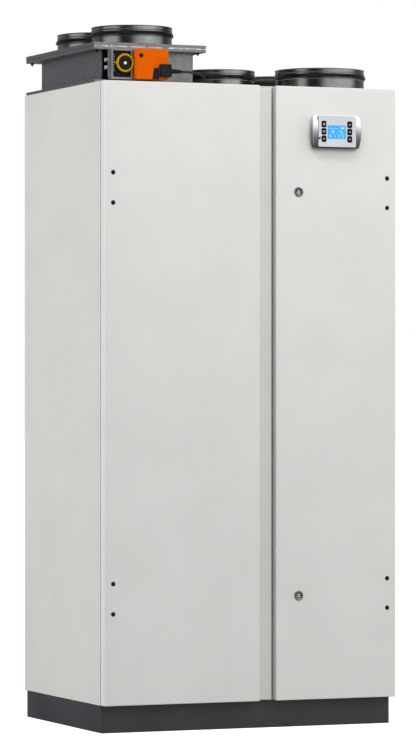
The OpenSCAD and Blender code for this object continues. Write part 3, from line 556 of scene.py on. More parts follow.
bmesh.ops.delete(bm, geom=[face_toward(faces, (0, 1, 0))], context="FACES_ONLY")
nose = face_toward(list(bm.faces), (0, -1, 0))
round_off(bm, nose.edges, post_bend, 4)
sheet_metal(add_piece("centre_post", bm, body_coat, "cabinet", "body_paint"), post_sheet)


# Insulation and inner sheet walls
# Mineral-wool slabs faced with dark fleece line the carcass and fill the doors, and galvanised
# sheets part the air streams. All are cut to size and slid in.
fleece_tones = ("34363a", "4b4e52", "5b5e62")
sheet_zinc = ("9b9fa3", "c3c7ca")


def fleece(name, codes, fibre=700, height=0.5 * mm):
    """Non-woven fleece: long soft fibres over a slightly lumpy slab."""
    finish, tree, shader, place = new_finish(name, Sheen_Weight=0.25)
    fibres = cloud(tree, place, fibre, 6, (1, 0.25, 1))
    tint(tree, shader, fibres, codes)
    gloss(tree, shader, fibres, 0.85, 1.0)
    relief(tree, shader, cloud(tree, place, 25, 3), 2 * mm)
    relief(tree, shader, fibres, height)
    return finish


black_fleece = fleece("black_fleece", fleece_tones)
inner_zinc = spangled("inner_zinc", sheet_zinc, (0.35, 0.5))
dress(black_fleece, "cabinet_insulation", "left_door_insulation", "right_door_insulation")
dress(inner_zinc, "inner_partitions", "floor_panel", "left_door_liner", "right_door_liner")


# Condensate tray
# A black plastic tray under the cold side of the heat exchanger, with rounded corners and a
# drain stub that passes through the floor to the trap in the plinth.
tray_black = ("1c1d20", "26282b")
tray_wall = 2 * mm
tray_depth = 30 * mm
tray_corner = 12 * mm
stub_place = (-300 * mm, -200 * mm)
stub_r = 16 * mm
stub_wall = 3 * mm
nut_w = 5 * mm

tray_plastic = moulded("tray_plastic", tray_black, (0.4, 0.55))
tray_lo, tray_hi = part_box("condensate_tray")
bm = bmesh.new()
faces = cube_between(bm, (tray_lo.x, tray_lo.y, tray_hi.z - tray_depth), tray_hi)
bmesh.ops.delete(bm, geom=[face_toward(faces, (0, 0, 1))], context="FACES_ONLY")
round_off(bm, edges_along(bm.edges, 2), tray_corner, 5)
tray = add_piece("drip_tray", bm, tray_plastic, "cabinet", "tray_plastic", "condensate_tray")
sheet_metal(tray, tray_wall)
bm = bmesh.new()
stub_top = tray_hi.z - tray_depth + tray_wall
stub = [(stub_r - stub_wall, tray_lo.z), (stub_r - 0.6 * mm, tray_lo.z), (stub_r, tray_lo.z + 1 * mm),
        (stub_r, stub_top), (stub_r - stub_wall, stub_top)]
nut = [(stub_r, stub_top - 10 * mm), (stub_r + nut_w, stub_top - 8 * mm),
       (stub_r + nut_w, stub_top - 6 * mm), (stub_r, stub_top - 6 * mm)]
for outline in (stub, nut):
    turned(bm, outline, (*stub_place, 0), (0, 0, 1), 48)
add_piece("drain_stub", bm, tray_plastic, "cabinet", "tray_plastic")


# Heat exchanger
# A six-sided counterflow stack of thin aluminium plates between two folded end plates, held by
# a sealed bar along each of its six corners. A webbing strap on its front pulls it out.
foil_tones = ("a9adb1", "cfd3d6")
strap_black = ("17181a", "242528")
shoulder = 210 * mm
end_plate = 3 * mm
foil_pitch = 7 * mm
corner_bar = 9 * mm
strap_room = 5 * mm
end_field = 22 * mm
foil_t = 0.6 * mm
strap_half = 70 * mm
strap_z = 1060 * mm
strap_wide = 30 * mm
strap_bulge = 4.4 * mm


def brushed(name, codes, rough, grain, along, **sockets):
    """Bare metal rolled or brushed along one axis."""
    finish, tree, shader, place = new_finish(name, Metallic=1.0, **sockets)
    stretch = [1.0, 1.0, 1.0]
    stretch[along] = 0.03
    lines = cloud(tree, place, grain, 4, stretch)
    tint(tree, shader, lines, codes)
    gloss(tree, shader, lines, *rough)
    relief(tree, shader, lines, 0.01 * mm)
    return finish


def webbing(name, codes, rib):
    """Woven strap: ribs across, finer threads along."""
    finish, tree, shader, place = new_finish(name, Sheen_Weight=0.2)
    weave = tree.nodes.new("ShaderNodeTexWave")
    weave.inputs["Scale"].default_value = rib
    weave.inputs["Distortion"].default_value = 0.4
    tree.links.new(place, weave.inputs["Vector"])
    tint(tree, shader, weave.outputs["Fac"], codes, (0.2, 0.8))
    gloss(tree, shader, weave.outputs["Fac"], 0.7, 0.9)
    relief(tree, shader, weave.outputs["Fac"], 0.3 * mm)
    return finish


def prism(bm, outline, y0, y1):
    """A solid with an outline of (x, z) points, from y0 to y1: its faces."""
    verts = [bm.verts.new((x, y0, z)) for x, z in outline]
    grown = bmesh.ops.extrude_face_region(bm, geom=[bm.faces.new(verts)])["geom"]
    far = verts_in(grown)
    bmesh.ops.translate(bm, vec=(0, y1 - y0, 0), verts=far)
    faces = list({face for vert in verts + far for face in vert.link_faces})
    bmesh.ops.recalc_face_normals(bm, faces=faces)
    return faces


aluminium_foil = brushed("aluminium_foil", foil_tones, (0.25, 0.4), 120, 2)
strap_webbing = webbing("strap_webbing", strap_black, 90)
core_lo, core_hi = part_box("heat_exchanger")
core_front = core_lo.y + strap_room
core_mid = (core_lo.x + core_hi.x) / 2


def stud(bm, place, radius, length, about=None, segments=6):
    """An upright hexagon or round bar centred on a place, or laid down about an axis."""
    lay = Matrix.Rotation(math.pi / 2, 4, about) if about else Matrix.Identity(4)
    bmesh.ops.create_cone(bm, cap_ends=True, segments=segments, radius1=radius, radius2=radius,
                          depth=length, matrix=Matrix.Translation(place) @ lay)


def core_outline(inset):
    """The stack's six corners, drawn in by an inset."""
    side = core_hi.x - core_mid - inset
    low, high = core_lo.z + shoulder, core_hi.z - shoulder
    return [(core_mid, core_lo.z + inset), (core_mid + side, low), (core_mid + side, high),
            (core_mid, core_hi.z - inset), (core_mid - side, high), (core_mid - side, low)]


bm = bmesh.new()
for y0, y1 in ((core_front, core_front + end_plate), (core_hi.y - end_plate, core_hi.y)):
    faces = prism(bm, core_outline(0), y0, y1)
    round_off(bm, edges_of(faces), 0.8 * mm, 2)
front_field = face_toward(bm.faces, (0, -1, 0))
bmesh.ops.inset_region(bm, faces=[front_field], thickness=end_field, use_even_offset=True)
bmesh.ops.inset_region(bm, faces=[front_field], thickness=3 * mm, depth=-1.2 * mm,
                       use_even_offset=True)
for x, z in core_outline(corner_bar * 0.8):
    stud(bm, (x, (core_front + core_hi.y) / 2, z), corner_bar, core_hi.y - core_front - 2 * mm, "X", 16)
add_piece("exchanger_frame", bm, aluminium_foil, "cabinet", "exchanger_aluminium", "heat_exchanger")
bm = bmesh.new()
foils = int((core_hi.y - core_front) / foil_pitch)
for i in range(1, foils):
    y = core_front + (core_hi.y - core_front) * i / foils
    prism(bm, core_outline(3 * mm), y, y + foil_t)
add_piece("exchanger_foils", bm, aluminium_foil, "cabinet", "exchanger_aluminium")
bm = bmesh.new()
bmesh.ops.create_grid(bm, x_segments=24, y_segments=2, size=1.0)
for vert in bm.verts:
    u, v = vert.co.x, vert.co.y
    bulge = strap_bulge * max(0.0, math.cos(u * math.pi / 2)) ** 0.6
    vert.co = (core_mid + strap_half * u, core_front - 0.4 * mm - bulge, strap_z + strap_wide / 2 * v)
bmesh.ops.recalc_face_normals(bm, faces=bm.faces)
bmesh.ops.solidify(bm, geom=bm.faces[:], thickness=1.0 * mm)
for s in (-1, 1):
    pan_head(bm, (core_mid + s * (strap_half - 8 * mm), core_front - 1 * mm, strap_z), (0, -1, 0), 5 * mm)
add_piece("exchanger_strap", bm, strap_webbing, "cabinet", "exchanger_aluminium")


# Filter cassettes
# Pleated glass-fibre paper glued into frames of white board, one for each air stream, with a
# tape tab on the front to draw each one out.
board_white = ("dcdcd6", "e9e9e4")
paper_white = ("c9cbc4", "e4e5df")
board_w = 16 * mm
pleat_pitch = 9 * mm
pleat_room = 6 * mm
tab_half = 15 * mm
left_cassette_x1 = -169 * mm
right_cassette_x0 = 55 * mm
right_cassette_y1 = 23 * mm


def paper(name, codes, rough=(0.85, 1.0)):
    """Board or filter paper: felted fibres in every direction."""
    finish, tree, shader, place = new_finish(name)
    fibres = cloud(tree, place, 420, 6)
    tint(tree, shader, cloud(tree, place, 14, 5), codes)
    gloss(tree, shader, fibres, *rough)
    relief(tree, shader, fibres, 0.08 * mm)
    return finish


def ring_frame(bm, lo, hi, width, axis, radius=0.0, segments=2):
    """A rectangular ring between two corners that lies across an axis, its edges rounded."""
    faces = cube_between(bm, lo, hi)
    rims = []
    for face in [face for face in faces if abs(face.normal[axis]) > 0.9]:
        bmesh.ops.inset_region(bm, faces=[face], thickness=width, use_even_offset=True)
        rims += list(face.edges)
        faces += [other for edge in face.edges for other in edge.link_faces]
        faces.remove(face)
        bmesh.ops.delete(bm, geom=[face], context="FACES_ONLY")
    bridged = bmesh.ops.bridge_loops(bm, edges=rims)["faces"]
    faces = [face for face in set(faces + bridged) if face.is_valid]
    bmesh.ops.recalc_face_normals(bm, faces=faces)
    if radius:
        sharp = {edge for face in faces for edge in face.edges if edge.calc_face_angle(0) > 1}
        round_off(bm, sharp, radius, segments)


filter_board = paper("filter_board", board_white, (0.6, 0.75))
filter_paper = paper("filter_paper", paper_white)
filters_lo, filters_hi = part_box("filters")
cassettes = ((filters_lo.x, left_cassette_x1, filters_lo.y, filters_hi.y),
             (right_cassette_x0, filters_hi.x, filters_lo.y, right_cassette_y1))
frames, pleats, tabs = bmesh.new(), bmesh.new(), bmesh.new()
for x0, x1, y0, y1 in cassettes:
    ring_frame(frames, (x0, y0, filters_lo.z), (x1, y1, filters_hi.z), board_w, 2, 0.8 * mm)
    folds = 2 * round((y1 - y0 - 2 * board_w) / pleat_pitch / 2)
    for vert in bmesh.ops.create_grid(pleats, x_segments=1, y_segments=folds, size=1.0)["verts"]:
        fold = round((vert.co.y + 1) / 2 * folds)
        x = (x0 + x1) / 2 + vert.co.x * ((x1 - x0) / 2 - board_w / 2)
        y = (y0 + y1) / 2 + vert.co.y * ((y1 - y0) / 2 - board_w / 2)
        z = filters_lo.z + pleat_room if fold % 2 else filters_hi.z - pleat_room
        vert.co = (x, y, z)
    block(tabs, ((x0 + x1) / 2 - tab_half, y0 - 1.2 * mm, filters_lo.z + 10 * mm),
          ((x0 + x1) / 2 + tab_half, y0 + 1 * mm, filters_hi.z - 12 * mm), 0.5 * mm)
add_piece("filter_frames", frames, filter_board, "cabinet", "filter_board", "filters")
sheet_metal(add_piece("filter_pleats", pleats, filter_paper, "cabinet", "filter_board"), 0.8 * mm)
add_piece("filter_tabs", tabs, strap_webbing, "cabinet", "filter_board")


# Fans
# Two plug fans: a black steel frame with a drawn inlet ring and an external-rotor motor, and
# a moulded impeller with seven backward-curved blades between a shroud and a back disc.
fan_grey = ("1b1c1f", "27292c")
impeller_grey = ("26282b", "34363a")
impeller_r = 95 * mm
inlet_r = 63 * mm
hub_r = 6.1 * mm
blade_foot = 8 * mm
blade_tip = 77 * mm
blade_root_r = 58 * mm
blade_sweep = 0.95
blade_wall = 2.2 * mm
blades = 7

fan_coat = powder_coat("fan_coat", fan_grey, (0.35, 0.5))
impeller_plastic = moulded("impeller_plastic", impeller_grey, (0.38, 0.5))
dress(fan_coat, "fan_housings")
for name, centre, axis, body in (
        ("supply", (-310 * mm, 202 * mm, 360 * mm), (0, 1, 0), "supply_impeller"),
        ("exhaust", (32 * mm, -2 * mm, 1792 * mm), (0, 0, 1), "exhaust_impeller")):
    bm = bmesh.new()
    disc = [(hub_r, 58 * mm), (15 * mm, 58 * mm), (16 * mm, 72 * mm), (impeller_r - 1 * mm, 74 * mm),
            (impeller_r, 75 * mm), (impeller_r - 1 * mm, blade_tip), (hub_r, blade_tip)]
    shroud = [(inlet_r, blade_foot + 1 * mm), (inlet_r + 3 * mm, blade_foot),
              (inlet_r + 12 * mm, blade_foot + 1.5 * mm), (impeller_r, blade_foot + 4 * mm),
              (impeller_r, blade_foot + 6 * mm), (inlet_r + 11 * mm, blade_foot + 4 * mm),
              (inlet_r + 3 * mm, blade_foot + 2.5 * mm)]
    for outline in (disc, shroud):
        turned(bm, outline, (0, 0, 0), (0, 0, 1), 72)
    for k in range(blades):
        grid = bmesh.ops.create_grid(bm, x_segments=8, y_segments=1, size=1.0)["verts"]
        skin = list({face for vert in grid for face in vert.link_faces})
        for vert in grid:
            out = (vert.co.x + 1) / 2
            radius = blade_root_r + (impeller_r - blade_root_r - 3 * mm) * out
            angle = math.tau * k / blades + blade_sweep * out ** 0.8
            foot = blade_foot + 2.5 * mm + 1.5 * mm * out
            height = foot if vert.co.y < 0 else blade_tip - 2 * mm
            vert.co = (radius * math.cos(angle), radius * math.sin(angle), height)
        bmesh.ops.solidify(bm, geom=skin, thickness=blade_wall)
    stand_at(bm, centre, axis)
    bmesh.ops.recalc_face_normals(bm, faces=bm.faces)
    add_piece(name + "_fan_wheel", bm, impeller_plastic, body, "impeller_plastic", name + "_impeller")


# Bypass flap and its motor
# A galvanised flap on a steel shaft shuts the channel beside the heat exchanger. A small
# geared motor in a grey plastic case, fixed with two screws, turns it.
motor_grey = ("3a3c40", "46494d")
motor_corner = 3 * mm
cap_inset = 8 * mm
motor_screw_inset = 14 * mm
motor_screw_r = 3.5 * mm

steel_bar = brushed("steel_bar", ("9a9da1", "c3c6c9"), (0.22, 0.34), 300, 1)
motor_case = moulded("motor_case", motor_grey, (0.4, 0.55))
dress(steel_bar, "bypass_flap")
motor_lo, motor_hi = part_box("bypass_actuator")
bm = bmesh.new()
block(bm, motor_lo, motor_hi, motor_corner, 3)
ring_frame(bm, (motor_lo.x + cap_inset, motor_lo.y - 1 * mm, motor_lo.z + cap_inset),
           (motor_hi.x - cap_inset, motor_lo.y + 1 * mm, motor_hi.z - cap_inset), 1.5 * mm, 1, 0.4 * mm)
for height in (motor_lo.z + motor_screw_inset, motor_hi.z - motor_screw_inset):
    pan_head(bm, (motor_lo.x + motor_screw_inset, motor_lo.y, height), (0, -1, 0), motor_screw_r)
add_piece("bypass_motor", bm, motor_case, "cabinet", "drive_orange", "bypass_actuator")


# Control box
# A galvanised steel box on the right room's rear plate: a lid with four screws and two rows of
# pressed louvres, cable glands underneath, and the main circuit board behind it.
box_tones = ("a7abae", "bcc0c3")
board_green = ("0d3b24", "14512f")
lid_t = 2 * mm
lid_screw_inset = 10 * mm
lid_screw_r = 4 * mm
louvres = 9
louvre_pitch = (21 * mm, 22 * mm)
glands = 6
gland_pitch = 36 * mm
board_inset = (20 * mm, 30 * mm)
board_y = (-20 * mm, -18.4 * mm)
chip_rows = 8
chip_pitch = 42 * mm

box_zinc = spangled("box_zinc", box_tones, (0.34, 0.46), flakes=120)
circuit_green = moulded("circuit_green", board_green, (0.3, 0.45), patch=60, grain=700)
gland_black = moulded("gland_black", ("151618", "1f2023"), (0.4, 0.5))
case_lo, case_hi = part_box("control_box")
lid_back = case_lo.y + lid_t
bm = bmesh.new()
faces = cube_between(bm, (case_lo.x, lid_back, case_lo.z), case_hi)
bmesh.ops.delete(bm, geom=[face_toward(faces, (0, -1, 0))], context="FACES_ONLY")
round_off(bm, edges_along(bm.edges, 1), 2 * mm, 3)
case = add_piece("control_case", bm, box_zinc, "cabinet", "galvanised_sheet", "control_box")
sheet_metal(case, 1.5 * mm)
bm = bmesh.new()
block(bm, case_lo, (case_hi.x, lid_back, case_hi.z), 0.8 * mm, 2)
for row in (0, 1):
    for i in range(louvres):
        x = case_lo.x + 40 * mm + i * louvre_pitch[0]
        z = case_hi.z - 60 * mm - row * louvre_pitch[1]
        block(bm, (x, case_lo.y - 2 * mm, z), (x + 12 * mm, case_lo.y + 1 * mm, z + 5 * mm), 1.4 * mm, 3)
add_piece("control_lid", bm, box_zinc, "cabinet", "galvanised_sheet")
bm = bmesh.new()
for x in (case_lo.x + lid_screw_inset, case_hi.x - lid_screw_inset):
    for z in (case_lo.z + lid_screw_inset, case_hi.z - lid_screw_inset):
        pan_head(bm, (x, case_lo.y, z), (0, -1, 0), lid_screw_r)
add_piece("control_screws", bm, zinc_plate, "cabinet", "zinc_steel")
bm = bmesh.new()
for i in range(glands):
    x = case_lo.x + 35 * mm + i * gland_pitch
    turned(bm, in_mm((4, 0), (10, 0), (10, 6), (8.5, 8), (6, 17), (4, 18)),
           (x, (case_lo.y + case_hi.y) / 2, case_lo.z), (0, 0, -1), 24)
add_piece("control_glands", bm, gland_black, "cabinet", "cable_black")
bm = bmesh.new()
block(bm, (case_lo.x + board_inset[0], board_y[0], case_lo.z + board_inset[1]),
      (case_hi.x - board_inset[0], board_y[1], case_hi.z - board_inset[1]), 0.3 * mm)
for i in range(chip_rows):
    z = case_lo.z + 55 * mm + i * chip_pitch
    for x0, x1, proud, tall in in_mm((40, 68, 16, 16), (120, 185, 12, 12)):
        block(bm, (case_lo.x + x0, board_y[0] - proud, z), (case_lo.x + x1, board_y[0], z + tall), 1 * mm)
add_piece("control_board", bm, circuit_green, "cabinet", "galvanised_sheet")


# Doors
# Folded trays of 1.5 mm steel, powder-coated light grey, filled with mineral wool and closed
# behind by a galvanised sheet. A soft rubber profile on the back seals them to the frame.
door_grey = ("d7d6d3", "dbdad7")
door_bend = 2.2 * mm
door_sheet = 1.5 * mm
seal_black = ("151618", "232427")
seal_w = 10 * mm
seal_round = 1.9 * mm

door_coat = powder_coat("door_coat", door_grey)
door_rubber = moulded("door_rubber", seal_black, (0.55, 0.7), height=0.05 * mm)
for side in ("left", "right"):
    bm = bmesh.new()
    faces = cube_between(bm, *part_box(side + "_door_skin"))
    bmesh.ops.delete(bm, geom=[face_toward(faces, (0, 1, 0))], context="FACES_ONLY")
    round_off(bm, [edge for edge in bm.edges if not edge.is_boundary], door_bend, 4)
    body = side + "_door"
    sheet_metal(add_piece(body + "_tray", bm, door_coat, body, "door_paint", body + "_skin"), door_sheet)
    bm = bmesh.new()
    seal_lo, seal_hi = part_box(body + "_gasket")
    ring_frame(bm, seal_lo, seal_hi, seal_w, 1, seal_round, 3)
    add_piece(body + "_seal", bm, door_rubber, body, "door_rubber", body + "_gasket")


# Hinges and their screws
# Zinc-plated arms on the front frame reach through the door's back to a pin, and leaves with
# two ears hang on it. Black button-head screws in cup washers hold the leaves through the skin.
screw_black = ("0e0e0f", "1a1a1c")
screw_head_r = 4.9 * mm
screw_gap = 92 * mm
washer_r = 7.1 * mm
washer_t = 1.5 * mm

hinge_zinc = spangled("hinge_zinc", ("8f9296", "b3b6b9"), (0.25, 0.38), flakes=500)
black_oxide = moulded("black_oxide", screw_black, (0.25, 0.4), patch=300, grain=2500, Metallic=0.6)
dress(hinge_zinc, "hinge_arms", "left_hinge_leaves", "right_hinge_leaves")
dress(black_oxide, "left_door_screws", "right_door_screws")
for side in ("left", "right"):
    screw_lo, screw_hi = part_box(side + "_door_screws")
    skin_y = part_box(side + "_door_skin")[0].y
    low, high = screw_lo.z + screw_head_r, screw_hi.z - screw_head_r
    bm = bmesh.new()
    cup = [(screw_head_r, 0), (washer_r, 0), (0.93 * washer_r, 0.6 * washer_t),
           (0.75 * washer_r, washer_t), (screw_head_r, washer_t)]
    for z in (low, low + screw_gap, high - screw_gap, high):
        turned(bm, cup, ((screw_lo.x + screw_hi.x) / 2, skin_y, z), (0, -1, 0), 40)
    add_piece(side + "_screw_washers", bm, black_oxide, side + "_door", "black_screws")


# Quarter-turn locks
# Chromed die-cast housings clamped in the right door with a nut, each with a dished round
# head, and a barrel with a double-bit key recess that turns a steel cam behind the frame.
chrome_tones = ("6f7173", "8b8d90")
barrel_tones = ("2c2e30", "3a3c3f")
lock_head_r = 15 * mm
lock_body_r = 12 * mm
barrel_r = 7.9 * mm
barrel_bore = 8.05 * mm
cam_length = 45 * mm
cam_w = 16 * mm
cam_t = 3 * mm
lock_nut_y = 32 * mm
lock_nut_r = 16 * mm
lock_nut_t = 3.4 * mm


def tablet(bm, lo, hi, axis, corner, edge=0.0, segments=6):
    """A block whose four edges along one axis are rounded wide, and whose rims a little."""
    part = bmesh.new()
    cube_between(part, lo, hi)
    round_off(part, edges_along(part.edges, axis), corner, segments)
    if edge:
        ends = [face for face in part.faces if abs(face.normal[axis]) > 0.99]
        round_off(part, edges_of(ends), edge, 2)
    take_in(bm, part)


barrel_metal = moulded("barrel_metal", barrel_tones, (0.5, 0.6), patch=200, grain=3000, Metallic=0.9)
dark_chrome = moulded("dark_chrome", chrome_tones, (0.12, 0.22), patch=200, grain=3000,
                      height=0.003 * mm, Metallic=1.0)
door_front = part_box("right_door_skin")[0].y
lock_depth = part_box("lock_housings")[1].y - door_front
lock_head = [(barrel_bore, -lock_depth), (lock_body_r, -lock_depth), (lock_body_r, 0), (lock_head_r, 0)]
lock_head += in_mm((15, 0.9), (14.6, 1.7), (13.6, 2.3), (12.4, 2.4), (11.4, 2.0), (10.6, 1.0),
                   (9.6, 0.5), (8.05, 0.3))
barrel_outline = in_mm((0, 0.6), (1.8, 0.5), (2.2, 0), (2.2, -6), (5.5, -6), (5.5, 0.1), (6.0, 0.6),
                       (7.4, 0.6), (7.9, 0.1), (7.9, -43), (0, -43))
bm = bmesh.new()
for node, body in (("upper_lock_barrel", "upper_lock"), ("lower_lock_barrel", "lower_lock")):
    lock_lo, lock_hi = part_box(node)
    x = (lock_lo.x + lock_hi.x) / 2
    z = lock_hi.z - barrel_r - 0.1 * mm
    turned(bm, lock_head, (x, door_front, z), (0, -1, 0), 72)
    stud(bm, (x, door_front + lock_nut_y, z), lock_nut_r, lock_nut_t, "X")
    barrel = bmesh.new()
    turned(barrel, barrel_outline, (x, door_front, z), (0, -1, 0), 56, closed=False)
    block(barrel, (x - 5.6 * mm, door_front, z - 1.2 * mm),
          (x + 5.6 * mm, door_front + 5.8 * mm, z + 1.2 * mm), 0.3 * mm)
    tablet(barrel, (x - cam_w / 2, lock_hi.y - cam_t, z - cam_length + cam_w / 2),
           (x + cam_w / 2, lock_hi.y, z + cam_w / 2), 1, 0.49 * cam_w, 0.3 * mm, 8)
    add_piece(node + "_turned", barrel, barrel_metal, body, "lock_chrome", node)
add_piece("lock_heads", bm, dark_chrome, "right_door", "lock_chrome", "lock_housings")


# Control panel
# A silver plastic shell with bowed sides and a bowed front, screwed to the right door, and a
# flat lighter fascia set into it. A blue display and six black rubber keys show through it.
# The shell's silver runs from dark at its foot to near white at its top: painted shade below, painted
# highlight above.
silver_shade_to_highlight_tones = ("66696c", "a4a7a9", "f6f7f8")
fascia_tones = ("c6c8cc", "cfd1d5")
glass_tones = ("1789ee", "2b9cf8")
key_black = ("08080a", "111215")
mark_tones = ("b9bdc2", "d5d8dc")
shell_half = (82.5 * mm, 50 * mm)
shell_depth = 22 * mm
side_bow = 6 * mm
front_bow = 8 * mm
shell_corner = 5 * mm
shell_edge = 2.4 * mm
shell_wall = 2 * mm
fascia_play = 0.3 * mm
key_size = (16.5 * mm, 20 * mm)
skirt_size = (18.1 * mm, 21.6 * mm)
glass_size = (62 * mm, 41 * mm)
glass_t = 5 * mm
board_half = (56 * mm, 41 * mm)
display_board_half = (33.5 * mm, 26 * mm)
display_glow = "2080ff"
sign_glow = "a8d6ff"
sign_tones = ("8cc4f6", "a2d2fb")
mark_rise = 0.12 * mm
lamp_place = (-60.2 * mm, -21.5 * mm)


def lacquer_with_painted_light(name, codes, rough, low, high):
    """Silver lacquer over plastic: fine metal flake, a painted shade that darkens it towards its lower edge,
    and a painted highlight that lightens its top.
    """
    finish, tree, shader, place = new_finish(name, Metallic=0.85)
    axes = tree.nodes.new("ShaderNodeSeparateXYZ")
    tree.links.new(place, axes.inputs["Vector"])
    # The colour follows height between low and high: painted shade at the bottom, painted highlight at the
    # top.
    rise = tree.nodes.new("ShaderNodeMapRange")
    rise.inputs["From Min"].default_value = low
    rise.inputs["From Max"].default_value = high
    tree.links.new(axes.outputs["Z"], rise.inputs["Value"])
    tint(tree, shader, rise.outputs["Result"], codes, (0.05, 0.9))
    flake = cloud(tree, place, 1800, 2)
    gloss(tree, shader, flake, *rough)
    relief(tree, shader, flake, 0.01 * mm)
    return finish


def lit(name, codes, glow, strength, patch=40):
    """A surface that is lit from behind."""
    finish, tree, shader, place = new_finish(name, Emission_Strength=strength, Roughness=0.2)
    shader.inputs["Emission Color"].default_value = (*linear(glow), 1)
    spread = cloud(tree, place, patch)
    tint(tree, shader, spread, codes)
    gloss(tree, shader, spread, 0.12, 0.2)
    return finish


fascia_lo, fascia_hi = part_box("panel_fascia")
shell_lo, shell_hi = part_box("panel_back_shell")
panel_mid = (fascia_lo + fascia_hi) / 2
shell_front = door_front - shell_depth
panel_silver = lacquer_with_painted_light("panel_silver", silver_shade_to_highlight_tones, (0.28, 0.4), shell_lo.z, shell_hi.z)
fascia_grey = moulded("fascia_grey", fascia_tones, (0.32, 0.42), grain=1600, Metallic=0.15)
display_blue = lit("display_blue", glass_tones, display_glow, 0.35)
display_mark = lit("display_mark", sign_tones, sign_glow, 0.3)
key_rubber = moulded("key_rubber", key_black, (0.34, 0.46), grain=2000, Specular_IOR_Level=0.12)
key_print = moulded("key_print", mark_tones, (0.5, 0.6), grain=2500)
dress(fascia_grey, "panel_fascia")

bm = bmesh.new()
bmesh.ops.create_grid(bm, x_segments=30, y_segments=22, size=1.0)
for vert in bm.verts:
    u, v = vert.co.x, vert.co.y
    half = shell_half[0] - side_bow * v * v
    vert.co = (panel_mid.x + half * u, shell_front + front_bow * v * v, panel_mid.z + shell_half[1] * v)
rim = [edge for edge in bm.edges if edge.is_boundary]
for vert in verts_in(bmesh.ops.extrude_edge_only(bm, edges=rim)["geom"]):
    vert.co.y = door_front
bmesh.ops.recalc_face_normals(bm, faces=bm.faces[:])
if face_nearest(bm.faces, Vector((panel_mid.x, shell_front, panel_mid.z))).normal.y > 0:
    bmesh.ops.reverse_faces(bm, faces=bm.faces[:])
depth_corners = [edge for edge in edges_along(bm.edges, 1) if edge.calc_face_angle(0) > 1.0]
round_off(bm, depth_corners, shell_corner, 5)
front_rim = [edge for edge in bm.edges if not edge.is_boundary and edge.calc_face_angle(0) > 0.9]
round_off(bm, front_rim, shell_edge, 4)
for face in bm.faces:
    face.smooth = True
for axis in (0, 2):
    cut_across(bm, axis, fascia_lo[axis] - fascia_play)
    cut_across(bm, axis, fascia_hi[axis] + fascia_play)
inside = []
for face in bm.faces:
    mid = face.calc_center_median()
    if all(fascia_lo[axis] - fascia_play < mid[axis] < fascia_hi[axis] + fascia_play for axis in (0, 2)):
        inside.append(face)
bmesh.ops.delete(bm, geom=inside, context="FACES")
shell = add_piece("panel_shell", bm, panel_silver, "right_door", "panel_silver", "panel_back_shell")
sheet_metal(shell, shell_wall, even=False)


def plate(bm, mid, size, y0, y1, corner, edge=0.0, segments=6):
    """A tablet of a width and height, centred on a place, that faces the front."""
    half_w, half_h = size[0] / 2, size[1] / 2
    tablet(bm, (mid.x - half_w, y0, mid.z - half_h), (mid.x + half_w, y1, mid.z + half_h),
           1, corner, edge, segments)


glass_mid = Vector((276 * mm, 0, 1844.5 * mm))
glass_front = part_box("panel_display")[0].y
bm = bmesh.new()
plate(bm, glass_mid, glass_size, glass_front, glass_front + glass_t, 1 * mm, 0.2 * mm, 4)
add_piece("panel_glass", bm, display_blue, "right_door", "display_blue", "panel_display")
bm = bmesh.new()
for mid, half, y0, y1, edge in (
        (panel_mid, board_half, door_front - 8 * mm, door_front - 6.4 * mm, 0.3 * mm),
        (glass_mid, display_board_half, fascia_hi.y + 0.3 * mm, door_front - 8 * mm, 0.5 * mm)):
    block(bm, (mid.x - half[0], y0, mid.z - half[1]), (mid.x + half[0], y1, mid.z + half[1]), edge)
add_piece("panel_circuit", bm, circuit_green, "right_door", "display_blue")


def bar(bm, mid, front, x, z, width, height, lean=0.0):
    """A flat printed bar in front of a surface, leaning by an angle in degrees."""
    c, s = math.cos(math.radians(lean)), math.sin(math.radians(lean))
    outline = []
    for i, j in ((-1, -1), (1, -1), (1, 1), (-1, 1)):
        u, v = i * width / 2, j * height / 2
        outline.append((mid.x + (x + u * c - v * s) * mm, mid.z + (z + u * s + v * c) * mm))
    prism(bm, outline, front - mark_rise, front + 2 * mark_rise)


def spot(bm, mid, front, x, z, radius, sides=16, spin=0.0):
    """A flat printed disc, or a polygon with few sides."""
    outline = []
    for k in range(sides):
        angle = math.tau * k / sides + math.radians(spin)
        outline.append((mid.x + (x + radius * math.cos(angle)) * mm,
                        mid.z + (z + radius * math.sin(angle)) * mm))
    prism(bm, outline, front - mark_rise, front + 2 * mark_rise)


def bars(bm, mid, front, *rows):
    """Printed bars, each given as x, z, width, height and any lean."""
    for row in rows:
        bar(bm, mid, front, *row)


# The display's pictograms: a level bar with three cells, a sun, an air stream between two thin
# rules, and four status signs in a row
bm = bmesh.new()
bars(bm, glass_mid, glass_front, (-10, 10.8, 34, 1.1), (-19.5, 14.5, 1.2, 4, 20), (0, -5.2, 52, 0.5))
for i in range(3):
    bars(bm, glass_mid, glass_front, (15.5 + 4.6 * i, 12.8, 3.4, 6.4 - 0.8 * (i % 2)),
         (11.5 + 3.6 * i, 3.6 - 1.9 * i, 2.2, 7.2, 38))
for k in range(8):
    a = math.tau * k / 8
    bar(bm, glass_mid, glass_front, -12.5 + 5.6 * math.cos(a), 2 + 5.0 * math.sin(a), 2.4, 0.9,
        math.degrees(a))
for x, z, radius in ((-12.5, 2, 3.2), (-22, -12.6, 3.2), (-5.0, -14, 1.9)):
    spot(bm, glass_mid, glass_front, x, z, radius)
bars(bm, glass_mid, glass_front, (-23.4, -9.2, 1.6, 4.4), (-17.2, -13.4, 3.0, 1.6),
     (-6.8, -10.2, 1.8, 6.2, 32), (6.8, -12, 3.0, 8.4), (6.8, -8.6, 5.6, 2.0), (17.8, -11.8, 1.4, 9.6),
     (23.4, -11.8, 1.4, 9.6), (20.6, -7.4, 5.6, 1.6), (20.6, -16.4, 5.6, 1.4))
add_piece("display_signs", bm, display_mark, "right_door", "display_blue")

